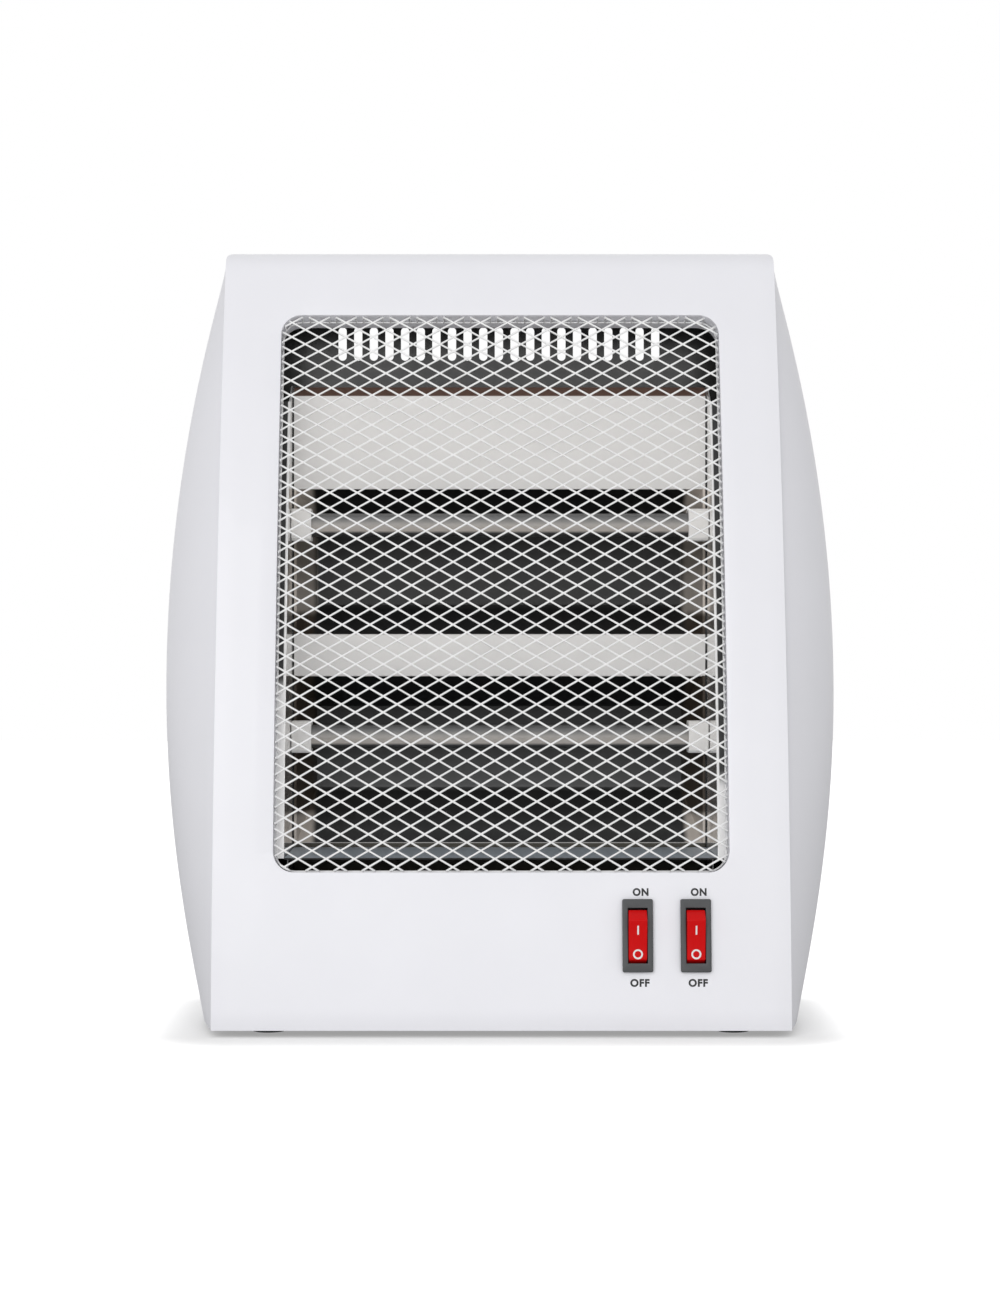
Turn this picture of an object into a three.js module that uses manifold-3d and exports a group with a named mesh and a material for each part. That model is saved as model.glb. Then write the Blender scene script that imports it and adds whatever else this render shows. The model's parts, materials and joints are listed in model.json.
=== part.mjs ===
// Free-standing electric bar heater with two quartz heating tubes behind a wire guard.
// Millimetres. X runs to the right seen from the front, Y from front to back, Z is up.
// The origin is on the floor, midway across the width and the depth.
import * as THREE from 'three';
import { mergeVertices } from 'three/addons/utils/BufferGeometryUtils.js';
import Module from 'manifold-3d';

const wasm = await Module();
wasm.setup();

// Fits shared by every piece.
const FIT = 0.3; // air between pieces that touch
const RUN = 0.3; // air round a piece that turns or slides

// Casing.
const DEPTH = 129; // frontmost edge of the rockers to the rear screw heads
const FACE_WIDTH = 256;
const FOOT_HEIGHT = 3;
const FACE_LENGTH = 354; // measured up the curve of the face
const LEAN_BASE = THREE.MathUtils.degToRad(4.5);
const LEAN_TOP = THREE.MathUtils.degToRad(20);
const ROLL_RADIUS = 14; // where the face rolls over into the top
const CORNER_RADIUS = 3.5; // upper corners seen from the front
const COVER_WALL = 2.2;
const SIDE_WALL = 2;
const SIDE_BULGE = 27.3; // how far a side cover stands out at its fullest
const BULGE_HEIGHT = 160;
const BULGE_RADIUS_BELOW = 632;
const BULGE_RADIUS_ABOVE = 707;
const POST_RADIUS = 4.5;
const POST_Y = { lower: 4, upper: 30 };
const POST_FLOOR = 62; // height of the lower posts
const POST_DROP = 57.1; // upper posts below the top

// Window, its collar and the guard in it. Lengths run up the curve of the face.
const WINDOW_WIDTH = 202.5;
const WINDOW_BOTTOM = 69.6;
const WINDOW_LENGTH = 261.3;
const WINDOW_CORNER = 9.5;
const COLLAR_DEPTH = 14;
const COLLAR_WALL = 1.6;
const GUARD_GAP = 1.2; // between the guard and the collar
const GUARD_INSET = 3;
const GUARD_WIRE = 1.3;
const GUARD_THICKNESS = 0.9;
const GUARD_COLUMNS = 7;
const GUARD_ROWS = 15;

// Sheet-metal frame.
const STEEL = 1; // chassis and rear panel
const BASE_PLATE = 1.2;
const FLANGE = 14; // folded edges of the chassis sides
const BRIGHT_SHEET = 0.8; // reflector, its side plates and the deck

// Reflector.
const LAND_Y = 21.6; // front of the upright bright sheet
const LAND_HALF = 97.2; // inner face of the side plates
const LAND_BOTTOM = 66;
const LAND_TOP = 290.2;
const LIP_RISE = 4.6;
const LIP_SET = 5.4;
const TROUGH_BACK = 48;
const TROUGH_SIDE = 1.7; // flat between a trough and its side plate
const TROUGH_TAPER = 8.2; // how far the ends of a trough slope in
const TROUGH_UPPER = { bottom: 178, top: 246.4, backBottom: 192.3, backTop: 232 };
const TROUGH_LOWER = { bottom: 79.9, top: 158.5, backBottom: 105, backTop: 144 };
const PLATE_FLANGE = 7; // outward fold at the front of a side plate
const PLATE_CORNER = 4; // cut off the top of a side plate
const PLATE_SHOULDER = LAND_TOP - PLATE_CORNER; // above this the side plate is cut back to the land
const LEG_FRONT = -10;
const DECK_HEIGHT = 78;
const DECK_FRONT = -48.5;

// Heating tubes.
const TUBE_Y = 12;
const TUBE_FLOOR = 130.3; // height of the lower tube
const TUBE_RISE = 98.7; // from the lower tube to the upper one
const TUBE_RADIUS = 5.5;
const TUBE_WALL = 1;
const COIL_TURNS = 9;
const COIL_WIRE = 0.55;
const HOLDER_LENGTH = 9.2;
const HOLDER_SIZE = 14.8;
const HOLDER_SEAT = 4; // how far a tube end sits in its holder
const PIN_RADIUS = 1.5;
const PIN_OUTSIDE = 8; // how far a terminal stands out of its side plate

// Switches, in a frame on the face: outward, across and up the face.
const SWITCH_X = { left: 60.2, right: 85.9 };
const SWITCH_UP = 41.7;
const BEZEL_WIDTH = 13.5;
const BEZEL_LENGTH = 32.2;
const BEZEL_THICKNESS = 1.6;
const BEZEL_CORNER = 0.8;
const BEZEL_LAP = 0.9; // bezel beyond the cut-out
const WELL_WIDTH = 8.8;
const WELL_LENGTH = 24.4;
const SWITCH_DEPTH = 20;
const PIVOT_BEHIND = 5; // rocker pivot behind the face
const ROCKER_TILT = THREE.MathUtils.degToRad(12);
const ROCKER_RIDGE = 8.9;
const ROCKER_CROWN = 9;
const ROCKER_VALLEY = 8.4;
const ROCKER_END = 12.5;
const ROCKER_END_OUT = 4;
const PIVOT_RADIUS = 1.2;
const TAB = { width: 6.3, thickness: 0.8, length: 8, spread: 14 };

// Base, feet and what stands on the base.
const FOOT_SET = { x: 24, y: 24.5 }; // in from the edges of the casing
const FOOT_RADIUS = 8;
const FOOT_NECK = 3;
const FOOT_BARB = 4.4;
const TIP = { x: -60, y: 5, width: 16, depth: 14, height: 20, travel: 5 };
const PLUNGER_RADIUS = 3.2;
const PLUNGER_COLLAR = 5;
const COLLAR_THICKNESS = 1.5;
const SPRING = { radius: 3.8, wire: 0.45, turns: 5 };
const BLOCK = { x: -8, rear: 28.5, width: 40, depth: 16, height: 13 }; // rear: in from the back

// Rear panel.
const SLOT = { count: 21, pitch: 7.57, width: 4, length: 16.2, drop: 35.7 };
const GLAND = { x: 70, height: 26, bore: 4, neck: 5.4, flange: 8, behind: 6 };

// Screws and leads.
const HEAD_RADIUS = 3;
const HEAD_HEIGHT = 1.8;
const SHANK_RADIUS = 1.5;
const SHANK_LENGTH = 7;
const SCREW_EDGE = 8; // screw line in from the edge of the rear panel
const REAR_SCREW_FLOOR = 20; // height of the lowest rear screws
const REAR_SCREW_DROP = 14.6; // highest rear screws below the top of the panel
const BASE_SCREW_Y = 22;
const LEAD_RADIUS = 1.3;

// Finishes.
const FINISH = {
  white: { color: 0xeef0f3, roughness: 0.35, metalness: 0 },
  side: { color: 0xe6e8ec, roughness: 0.4, metalness: 0 },
  guard: { color: 0xf2f2f0, roughness: 0.45, metalness: 0.2 },
  bright: { color: 0xc8c8c4, roughness: 0.12, metalness: 1 },
  steel: { color: 0x8f9397, roughness: 0.4, metalness: 1 },
  quartz: { color: 0x9a9a9c, roughness: 0.2, metalness: 0 },
  wire: { color: 0x6d675f, roughness: 0.5, metalness: 1 },
  ceramic: { color: 0xdad4cd, roughness: 0.7, metalness: 0 },
  grey: { color: 0x55585a, roughness: 0.4, metalness: 0 },
  red: { color: 0xc81512, roughness: 0.25, metalness: 0 },
  black: { color: 0x1d1d1f, roughness: 0.6, metalness: 0 },
  screw: { color: 0xb9bbbd, roughness: 0.35, metalness: 1 },
  lead: { color: 0xe9e4da, roughness: 0.6, metalness: 0 },
};

// Places that follow from the sizes above.
const FACE_RADIUS = FACE_LENGTH / (LEAN_TOP - LEAN_BASE);
const FRONT_Y = rockerReach() - DEPTH / 2; // foot of the face
const FACE_CENTRE = {
  y: FRONT_Y + FACE_RADIUS * Math.cos(LEAN_BASE),
  z: FOOT_HEIGHT - FACE_RADIUS * Math.sin(LEAN_BASE),
};
const ROLL_CENTRE = {
  y: FACE_CENTRE.y - (FACE_RADIUS - ROLL_RADIUS) * Math.cos(LEAN_TOP),
  z: FACE_CENTRE.z + (FACE_RADIUS - ROLL_RADIUS) * Math.sin(LEAN_TOP),
};
const ROLL_LENGTH = ROLL_RADIUS * (Math.PI / 2 - LEAN_TOP);
const HEIGHT = ROLL_CENTRE.z + ROLL_RADIUS;
const REAR_Y = DEPTH / 2 - HEAD_HEIGHT - FIT; // outer face of the rear panel
const INSIDE = COVER_WALL + FIT; // what lies against the inside of the front cover
const INSIDE_TOP = HEIGHT - INSIDE;
const BASE_TOP = FOOT_HEIGHT + BASE_PLATE;
const FLOOR_TOP = BASE_TOP + FIT; // where pieces stand on the base plate
const REAR_INSIDE = REAR_Y - STEEL - FIT;
const CHASSIS_OUTER = FACE_WIDTH / 2 - SIDE_WALL - FIT;
const CHASSIS_INNER = CHASSIS_OUTER - STEEL;
const PLATE_INSET = COLLAR_DEPTH + FIT; // front folds of the side plates
const TROUGH_HALF = LAND_HALF - TROUGH_SIDE;
const TROUGH_BACK_HALF = TROUGH_HALF - TROUGH_TAPER;
const HOLDER_OUTER = LAND_HALF - FIT;
const HOLDER_INNER = HOLDER_OUTER - HOLDER_LENGTH;
const FOOT_X = FACE_WIDTH / 2 - FOOT_SET.x;
const FOOT_Y = DEPTH / 2 - FOOT_SET.y;
const BLOCK_Y = DEPTH / 2 - BLOCK.rear;
const HOLE = SHANK_RADIUS + FIT;
const REAR_SCREW_TOP = INSIDE_TOP - REAR_SCREW_DROP;
const REAR_SCREW_HEIGHTS = [REAR_SCREW_FLOOR, (REAR_SCREW_FLOOR + REAR_SCREW_TOP) / 2, REAR_SCREW_TOP];
const SLOT_HEIGHT = INSIDE_TOP - SLOT.drop;
const TUBE_HEIGHTS = { upper: TUBE_FLOOR + TUBE_RISE, lower: TUBE_FLOOR };
const POSTS = {
  lower: { y: POST_Y.lower, z: POST_FLOOR },
  upper: { y: POST_Y.upper, z: HEIGHT - POST_DROP },
};

// How far the upper ridge of a rocker at rest stands out in front of the foot of the face.
function rockerReach() {
  const lean = LEAN_BASE + SWITCH_UP / FACE_RADIUS;
  const pivot = FACE_RADIUS * Math.cos(LEAN_BASE) - (FACE_RADIUS - PIVOT_BEHIND) * Math.cos(lean);
  const out = ROCKER_CROWN * Math.cos(ROCKER_TILT) + ROCKER_RIDGE * Math.sin(ROCKER_TILT);
  const up = ROCKER_RIDGE * Math.cos(ROCKER_TILT) - ROCKER_CROWN * Math.sin(ROCKER_TILT);
  return Math.max(out * Math.cos(lean) - up * Math.sin(lean) - pivot, 0);
}

// --- Shape helpers ---------------------------------------------------------------------

function vector(x, y, z) {
  return new THREE.Vector3(x, y, z);
}

// A point at length s up the face, depth n behind its surface and x across it.
function onFace(x, s, n) {
  if (s <= FACE_LENGTH) {
    const lean = LEAN_BASE + s / FACE_RADIUS;
    const radius = FACE_RADIUS - n;
    return vector(x, FACE_CENTRE.y - radius * Math.cos(lean), FACE_CENTRE.z + radius * Math.sin(lean));
  }
  const along = s - FACE_LENGTH;
  const lean = Math.min(LEAN_TOP + along / ROLL_RADIUS, Math.PI / 2);
  const flat = Math.max(along - ROLL_LENGTH, 0);
  const radius = ROLL_RADIUS - n;
  return vector(x, ROLL_CENTRE.y - radius * Math.cos(lean) + flat, ROLL_CENTRE.z + radius * Math.sin(lean));
}

// Y of the surface at depth n behind the face, at height z.
function faceY(z, n) {
  const rollStart = FACE_CENTRE.z + (FACE_RADIUS - n) * Math.sin(LEAN_TOP);
  const centre = z > rollStart ? ROLL_CENTRE : FACE_CENTRE;
  const radius = (z > rollStart ? ROLL_RADIUS : FACE_RADIUS) - n;
  return centre.y - Math.sqrt(Math.max(radius ** 2 - (z - centre.z) ** 2, 0));
}

// A closed body through equal rings of points. Its ends are capped unless it closes on itself.
function skin(rings, closed = false) {
  const sides = rings[0].length;
  const positions = rings.flat().flatMap((point) => [point.x, point.y, point.z]);
  const index = [];
  const quad = (a, b, c, d) => index.push(a, b, c, a, c, d);
  const spans = closed ? rings.length : rings.length - 1;
  for (let i = 0; i < spans; i += 1) {
    const here = i * sides;
    const next = ((i + 1) % rings.length) * sides;
    for (let j = 0; j < sides; j += 1) {
      const k = (j + 1) % sides;
      quad(here + j, here + k, next + k, next + j);
    }
  }
  if (!closed) {
    const last = (rings.length - 1) * sides;
    for (let j = 0, k = sides - 1; k - j > 1; j += 1, k -= 1) {
      const tip = k - j === 2;
      index.push(j + 1, j, k, last + j, last + j + 1, last + k);
      if (!tip) index.push(j + 1, k, k - 1, last + j + 1, last + k - 1, last + k);
    }
  }
  const geometry = new THREE.BufferGeometry();
  geometry.setAttribute('position', new THREE.Float32BufferAttribute(positions, 3));
  geometry.setIndex(index);
  return outward(geometry);
}

// Signed volume of an indexed geometry.
function volume(geometry) {
  const position = geometry.getAttribute('position');
  const [a, b, c] = [vector(), vector(), vector()];
  let total = 0;
  for (let i = 0; i < geometry.index.count; i += 3) {
    a.fromBufferAttribute(position, geometry.index.getX(i));
    b.fromBufferAttribute(position, geometry.index.getX(i + 1));
    c.fromBufferAttribute(position, geometry.index.getX(i + 2));
    total += a.dot(b.cross(c)) / 6;
  }
  return total;
}

// The same geometry with its faces pointing out.
function outward(geometry) {
  if (volume(geometry) < 0) geometry.index.array.reverse();
  return geometry;
}

function toSolid(geometry) {
  const bare = geometry.clone();
  bare.deleteAttribute('normal');
  bare.deleteAttribute('uv');
  const merged = mergeVertices(bare, 1e-4);
  return new wasm.Manifold(new wasm.Mesh({
    numProp: 3,
    vertProperties: new Float32Array(merged.getAttribute('position').array),
    triVerts: new Uint32Array(merged.index.array),
  }));
}

function toGeometry(solid) {
  const mesh = solid.getMesh();
  const geometry = new THREE.BufferGeometry();
  geometry.setAttribute('position', new THREE.Float32BufferAttribute(mesh.vertProperties, 3));
  geometry.setIndex(Array.from(mesh.triVerts));
  return geometry;
}

// Joins the first list of geometries and takes the second list away from them.
function carve(added, removed) {
  let solid = toSolid(added[0]);
  for (const piece of added.slice(1)) solid = solid.add(toSolid(piece));
  for (const piece of removed) solid = solid.subtract(toSolid(piece));
  return toGeometry(solid);
}

const BASIS = {
  x: [vector(0, 1, 0), vector(0, 0, 1), vector(1, 0, 0)],
  y: [vector(0, 0, 1), vector(1, 0, 0), vector(0, 1, 0)],
  z: [vector(1, 0, 0), vector(0, 1, 0), vector(0, 0, 1)],
};

// Turns a shape drawn in XY with its thickness along Z so that the thickness runs along an axis.
function along(axis, geometry) {
  return geometry.applyMatrix4(new THREE.Matrix4().makeBasis(...BASIS[axis]));
}

// A flat plate between two positions on an axis. The outline is drawn in the other two axes,
// in the order Y Z for x, Z X for y and X Y for z.
function plate(axis, shape, from, to) {
  const flat = new THREE.ExtrudeGeometry(shape, { depth: to - from, bevelEnabled: false, curveSegments: 5 });
  return along(axis, flat.translate(0, 0, from));
}

function outline(points) {
  return new THREE.Shape(points.map(([u, v]) => new THREE.Vector2(u, v)));
}

function roundHole(shape, u, v, radius) {
  shape.holes.push(new THREE.Path().absarc(u, v, radius, 0, 2 * Math.PI, true));
}

function block(x, y, z) {
  const geometry = new THREE.BoxGeometry(x[1] - x[0], y[1] - y[0], z[1] - z[0]);
  return geometry.translate((x[0] + x[1]) / 2, (y[0] + y[1]) / 2, (z[0] + z[1]) / 2);
}

// A turned piece: [radius, station] pairs along an axis through a point.
function turned(axis, profile, at, sides = 16, hollow = false) {
  const rings = profile.map(([radius, station]) => Array.from({ length: sides }, (_, i) => {
    const angle = (2 * Math.PI * i) / sides;
    return vector(radius * Math.cos(angle), radius * Math.sin(angle), station);
  }));
  return along(axis, skin(rings, hollow)).translate(...at);
}

function rod(axis, radius, from, to, at, sides = 20) {
  return turned(axis, [[radius, from], [radius, to]], at, sides);
}

// A rectangle with round corners as a list of points, evenly stepped up its long sides so
// that it can be bent to the face.
function frameOutline(halfWidth, bottom, top, radius) {
  const points = [];
  const steps = 16;
  const corner = (u, v, start) => {
    for (let i = 0; i <= 4; i += 1) {
      const angle = start + (i * Math.PI) / 8;
      points.push([u + radius * Math.cos(angle), v + radius * Math.sin(angle)]);
    }
  };
  const side = (u, from, to) => {
    for (let i = 1; i < steps; i += 1) points.push([u, from + ((to - from) * i) / steps]);
  };
  corner(-halfWidth + radius, bottom + radius, Math.PI);
  corner(halfWidth - radius, bottom + radius, -Math.PI / 2);
  side(halfWidth, bottom + radius, top - radius);
  corner(halfWidth - radius, top - radius, 0);
  corner(-halfWidth + radius, top - radius, Math.PI / 2);
  side(-halfWidth, top - radius, bottom + radius);
  return points;
}

// The outline of the window grown by an offset.
function windowOutline(offset) {
  return frameOutline(
    WINDOW_WIDTH / 2 + offset,
    WINDOW_BOTTOM - offset,
    WINDOW_BOTTOM + WINDOW_LENGTH + offset,
    WINDOW_CORNER + offset,
  );
}

// A wall that follows the window between two offsets and two depths behind the face.
function windowBand(inner, outer, front, back) {
  const inside = windowOutline(inner);
  const outside = windowOutline(outer);
  const rings = inside.map(([x, s], i) => [
    onFace(x, s, front),
    onFace(...outside[i], front),
    onFace(...outside[i], back),
    onFace(x, s, back),
  ]);
  return skin(rings, true);
}

// A plug of the window's shape that runs well past the face on both sides.
function windowPlug(offset) {
  const reach = 12;
  const points = windowOutline(offset);
  const geometry = new THREE.ExtrudeGeometry(outline(points), { depth: 1, bevelEnabled: false });
  const position = geometry.getAttribute('position');
  for (let i = 0; i < position.count; i += 1) {
    const depth = position.getZ(i) > 0.5 ? -reach : COLLAR_DEPTH + 2 * reach;
    const point = onFace(position.getX(i), position.getY(i), depth);
    position.setXYZ(i, point.x, point.y, point.z);
  }
  return outward(mergedOf(geometry));
}

function mergedOf(geometry) {
  geometry.deleteAttribute('normal');
  geometry.deleteAttribute('uv');
  return mergeVertices(geometry, 1e-4);
}

// A wire wound round the X axis: a straight start and end on the axis and an even coil between.
function woundWire(length, radius, wire, turns, legs) {
  const perTurn = 8;
  const sides = 5;
  const steps = turns * perTurn;
  const stations = [];
  for (let i = 0; i <= steps; i += 1) {
    const angle = (2 * Math.PI * i) / perTurn;
    const grown = radius * Math.min(1, (2 * i) / perTurn, (2 * (steps - i)) / perTurn);
    const x = -length / 2 + (length * i) / steps;
    stations.push({ at: vector(x, grown * Math.cos(angle), grown * Math.sin(angle)), angle });
  }
  if (legs > 0) {
    stations.unshift({ at: vector(-length / 2 - legs, 0, 0), angle: 0 });
    stations.push({ at: vector(length / 2 + legs, 0, 0), angle: 0 });
  }
  const loops = stations.map(({ at, angle }, i) => {
    const before = stations[Math.max(i - 1, 0)].at;
    const after = stations[Math.min(i + 1, stations.length - 1)].at;
    const forward = after.clone().sub(before).normalize();
    const side = vector(0, Math.cos(angle), Math.sin(angle));
    side.addScaledVector(forward, -side.dot(forward)).normalize();
    const up = forward.clone().cross(side);
    return Array.from({ length: sides }, (_, k) => {
      const turn = (2 * Math.PI * k) / sides;
      const point = at.clone().addScaledVector(side, wire * Math.cos(turn));
      return point.addScaledVector(up, wire * Math.sin(turn));
    });
  });
  return { geometry: skin(loops), gap: leastGap(stations.map(({ at }) => at), wire) };
}

// Least air between parts of a wire that lie at least half a turn apart along it.
function leastGap(path, wire) {
  let least = Infinity;
  for (let i = 0; i < path.length; i += 1) {
    for (let j = i + 5; j < path.length; j += 1) {
      least = Math.min(least, path[i].distanceTo(path[j]) - 2 * wire);
    }
  }
  return least;
}

// --- Assembly --------------------------------------------------------------------------

const heater = new THREE.Group();

function add(name, geometry, finish, parent = heater) {
  const mesh = new THREE.Mesh(geometry, new THREE.MeshStandardMaterial(FINISH[finish]));
  mesh.name = name;
  parent.add(mesh);
  return mesh;
}

// --- Front cover -----------------------------------------------------------------------

// How far the upper corners are drawn in at a height.
function cornerInset(z) {
  const above = Math.max(z - (HEIGHT - CORNER_RADIUS), 0);
  return CORNER_RADIUS - Math.sqrt(Math.max(CORNER_RADIUS ** 2 - above ** 2, 0));
}

// Lengths up the face at which the cover bends: even up the face, closer round the roll.
function coverStations() {
  const faceSteps = 20;
  const rollSteps = 8;
  const topRun = REAR_Y - ROLL_CENTRE.y;
  const stations = [];
  for (let i = 0; i < faceSteps; i += 1) stations.push((FACE_LENGTH * i) / faceSteps);
  for (let i = 0; i <= rollSteps; i += 1) stations.push(FACE_LENGTH + (ROLL_LENGTH * i) / rollSteps);
  stations.push(FACE_LENGTH + ROLL_LENGTH + topRun);
  return stations;
}

function coverShell() {
  return skin(coverStations().map((s) => {
    const half = FACE_WIDTH / 2 - cornerInset(onFace(0, s, 0).z);
    return [[-half, 0], [half, 0], [half, COVER_WALL], [-half, COVER_WALL]].map(([x, n]) => onFace(x, s, n));
  }));
}

// A switch's own frame: its origin on the rocker's pivot, Y into the face and Z up it.
function switchFrame(side) {
  const group = new THREE.Group();
  const pivot = onFace(SWITCH_X[side], SWITCH_UP, PIVOT_BEHIND);
  group.position.copy(pivot);
  group.rotation.x = -(LEAN_BASE + SWITCH_UP / FACE_RADIUS);
  group.updateMatrixWorld();
  heater.add(group);
  return group;
}

const BODY_HALF_WIDTH = BEZEL_WIDTH / 2 - BEZEL_LAP / 2 - FIT;
const BODY_HALF_LENGTH = BEZEL_LENGTH / 2 - BEZEL_LAP - FIT;

function switchCutout(group) {
  const across = BODY_HALF_WIDTH + FIT;
  const up = BODY_HALF_LENGTH + FIT;
  return block([-across, across], [-SWITCH_DEPTH, SWITCH_DEPTH], [-up, up]).applyMatrix4(group.matrixWorld);
}

function addFrontCover(groups) {
  const collar = windowBand(-COLLAR_WALL, COLLAR_WALL, COVER_WALL / 2, COLLAR_DEPTH);
  const cuts = [windowPlug(0), ...groups.map(switchCutout)];
  add('front_cover', carve([coverShell(), collar], cuts), 'white');
}

// --- Side covers -----------------------------------------------------------------------

// How far a side cover stands out at a height, at a fraction of its depth.
function bulge(z, fraction) {
  const off = z - BULGE_HEIGHT;
  const radius = off > 0 ? BULGE_RADIUS_ABOVE : BULGE_RADIUS_BELOW;
  const full = Math.max(SIDE_BULGE - off ** 2 / (2 * radius), 0);
  return full * (1 - (2 * fraction - 1) ** 2);
}

function sideRing(z) {
  const across = 8;
  const from = faceY(z, INSIDE);
  const outer = [];
  const inner = [];
  for (let i = 0; i <= across; i += 1) {
    const fraction = i / across;
    const y = from + (REAR_INSIDE - from) * fraction;
    const x = FACE_WIDTH / 2 + bulge(z, fraction);
    outer.push(vector(x - cornerInset(z), y, z));
    inner.unshift(vector(x - SIDE_WALL, y, z));
  }
  return [...outer, ...inner];
}

function sideShell() {
  const faceRows = 16;
  const rollRows = 5;
  const rollFrom = FACE_CENTRE.z + (FACE_RADIUS - INSIDE) * Math.sin(LEAN_TOP);
  const rings = [];
  for (let i = 0; i < faceRows; i += 1) {
    rings.push(sideRing(FOOT_HEIGHT + ((rollFrom - FOOT_HEIGHT) * i) / faceRows));
  }
  for (let i = 0; i <= rollRows; i += 1) {
    const turn = LEAN_TOP + ((Math.PI / 2 - LEAN_TOP) * i) / rollRows;
    rings.push(sideRing(ROLL_CENTRE.z + (ROLL_RADIUS - INSIDE) * Math.sin(turn)));
  }
  return skin(rings);
}

// Middle of the side wall at a point of the side.
function sideWallX(y, z) {
  const from = faceY(z, INSIDE);
  return FACE_WIDTH / 2 - SIDE_WALL / 2 + bulge(z, (y - from) / (REAR_INSIDE - from));
}

// A post inside a side cover that takes one of its screws. It ends inside the wall all round.
function sidePost({ y, z }) {
  const rim = [[1, 0], [-1, 0], [0, 1], [0, -1]];
  const end = Math.min(...rim.map(([u, v]) => sideWallX(y + u * POST_RADIUS, z + v * POST_RADIUS)));
  return rod('x', POST_RADIUS, CHASSIS_OUTER + FIT, end, [0, y, z], 12);
}

function sideCoverGeometry() {
  const end = CHASSIS_OUTER + SHANK_LENGTH;
  const bores = Object.values(POSTS).map(({ y, z }) => rod('x', HOLE, CHASSIS_INNER, end, [0, y, z], 8));
  return carve([sideShell(), ...Object.values(POSTS).map(sidePost)], bores);
}

function mirrored(geometry) {
  return outward(geometry.clone().scale(-1, 1, 1));
}

// Adds a piece on the right and its mirror image on the left.
function addPair(name, geometry, finish) {
  add(`${name}_right`, geometry, finish);
  add(`${name}_left`, mirrored(geometry), finish);
}

// --- Chassis, base and rear ------------------------------------------------------------

// Outline in Y and Z of a chassis side. Its rear and lower edges end inside the folds.
function chassisOutline() {
  const steps = 14;
  const rollSteps = 5;
  const top = FACE_CENTRE.z + (FACE_RADIUS - INSIDE) * Math.sin(LEAN_TOP);
  const bottom = FLOOR_TOP + STEEL / 2;
  const rear = REAR_INSIDE - STEEL / 2;
  const points = [];
  for (let i = 0; i < steps; i += 1) {
    const z = bottom + ((top - bottom) * i) / steps;
    points.push([faceY(z, INSIDE), z]);
  }
  for (let i = 0; i <= rollSteps; i += 1) {
    const turn = LEAN_TOP + ((Math.PI / 2 - LEAN_TOP) * i) / rollSteps;
    const radius = ROLL_RADIUS - INSIDE;
    points.push([ROLL_CENTRE.y - radius * Math.cos(turn), ROLL_CENTRE.z + radius * Math.sin(turn)]);
  }
  points.push([rear, INSIDE_TOP], [rear, bottom]);
  return outline(points.reverse());
}

function chassisGeometry() {
  const web = plate('x', chassisOutline(), CHASSIS_INNER, CHASSIS_OUTER);
  const fold = [CHASSIS_OUTER - FLANGE, CHASSIS_OUTER - STEEL / 2];
  const rearHeights = [FLOOR_TOP + STEEL * 0.7, INSIDE_TOP - 2 * FIT];
  const rear = block(fold, [REAR_INSIDE - STEEL, REAR_INSIDE], rearHeights);
  const foot = block(fold, [LEG_FRONT * 2, REAR_INSIDE - STEEL * 0.3], [FLOOR_TOP, FLOOR_TOP + STEEL]);
  const screwX = FACE_WIDTH / 2 - SCREW_EDGE;
  const bores = [
    ...REAR_SCREW_HEIGHTS.map((z) => rod('y', HOLE, REAR_INSIDE - 2 * STEEL, REAR_Y, [screwX, 0, z], 8)),
    ...Object.values(POSTS).map(({ y, z }) => (
      rod('x', HOLE, CHASSIS_INNER - STEEL, CHASSIS_OUTER + STEEL, [0, y, z], 8)
    )),
    rod('z', HOLE, FOOT_HEIGHT, FLOOR_TOP + 2 * STEEL, [screwX, BASE_SCREW_Y, 0], 8),
    rod('z', HOLE, FOOT_HEIGHT, FLOOR_TOP + 2 * STEEL, [screwX, LEG_FRONT, 0], 8),
  ];
  return carve([web, rear, foot], bores);
}

function addBasePlate() {
  const half = CHASSIS_INNER - FIT;
  const front = faceY(FOOT_HEIGHT, INSIDE) + FIT;
  const shape = outline([[-half, front], [half, front], [half, REAR_INSIDE], [-half, REAR_INSIDE]]);
  const screwX = FACE_WIDTH / 2 - SCREW_EDGE;
  for (const side of [-1, 1]) {
    for (const y of [-FOOT_Y, FOOT_Y]) roundHole(shape, side * FOOT_X, y, FOOT_NECK + FIT);
    for (const y of [LEG_FRONT, BASE_SCREW_Y]) roundHole(shape, side * screwX, y, HOLE);
  }
  roundHole(shape, TIP.x, TIP.y, PLUNGER_RADIUS + RUN);
  add('base_plate', plate('z', shape, FOOT_HEIGHT, BASE_TOP), 'steel');
}

// A slot with round ends of four steps each.
function slotPath(u, v, halfWidth, halfLength) {
  const points = [];
  for (const [end, start] of [[1, -Math.PI / 2], [-1, Math.PI / 2]]) {
    for (let i = 0; i <= 4; i += 1) {
      const angle = start + (i * Math.PI) / 4;
      const offset = end * (halfLength - halfWidth) + halfWidth * Math.cos(angle);
      points.push(new THREE.Vector2(u + offset, v + halfWidth * Math.sin(angle)));
    }
  }
  return new THREE.Path(points);
}

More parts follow.
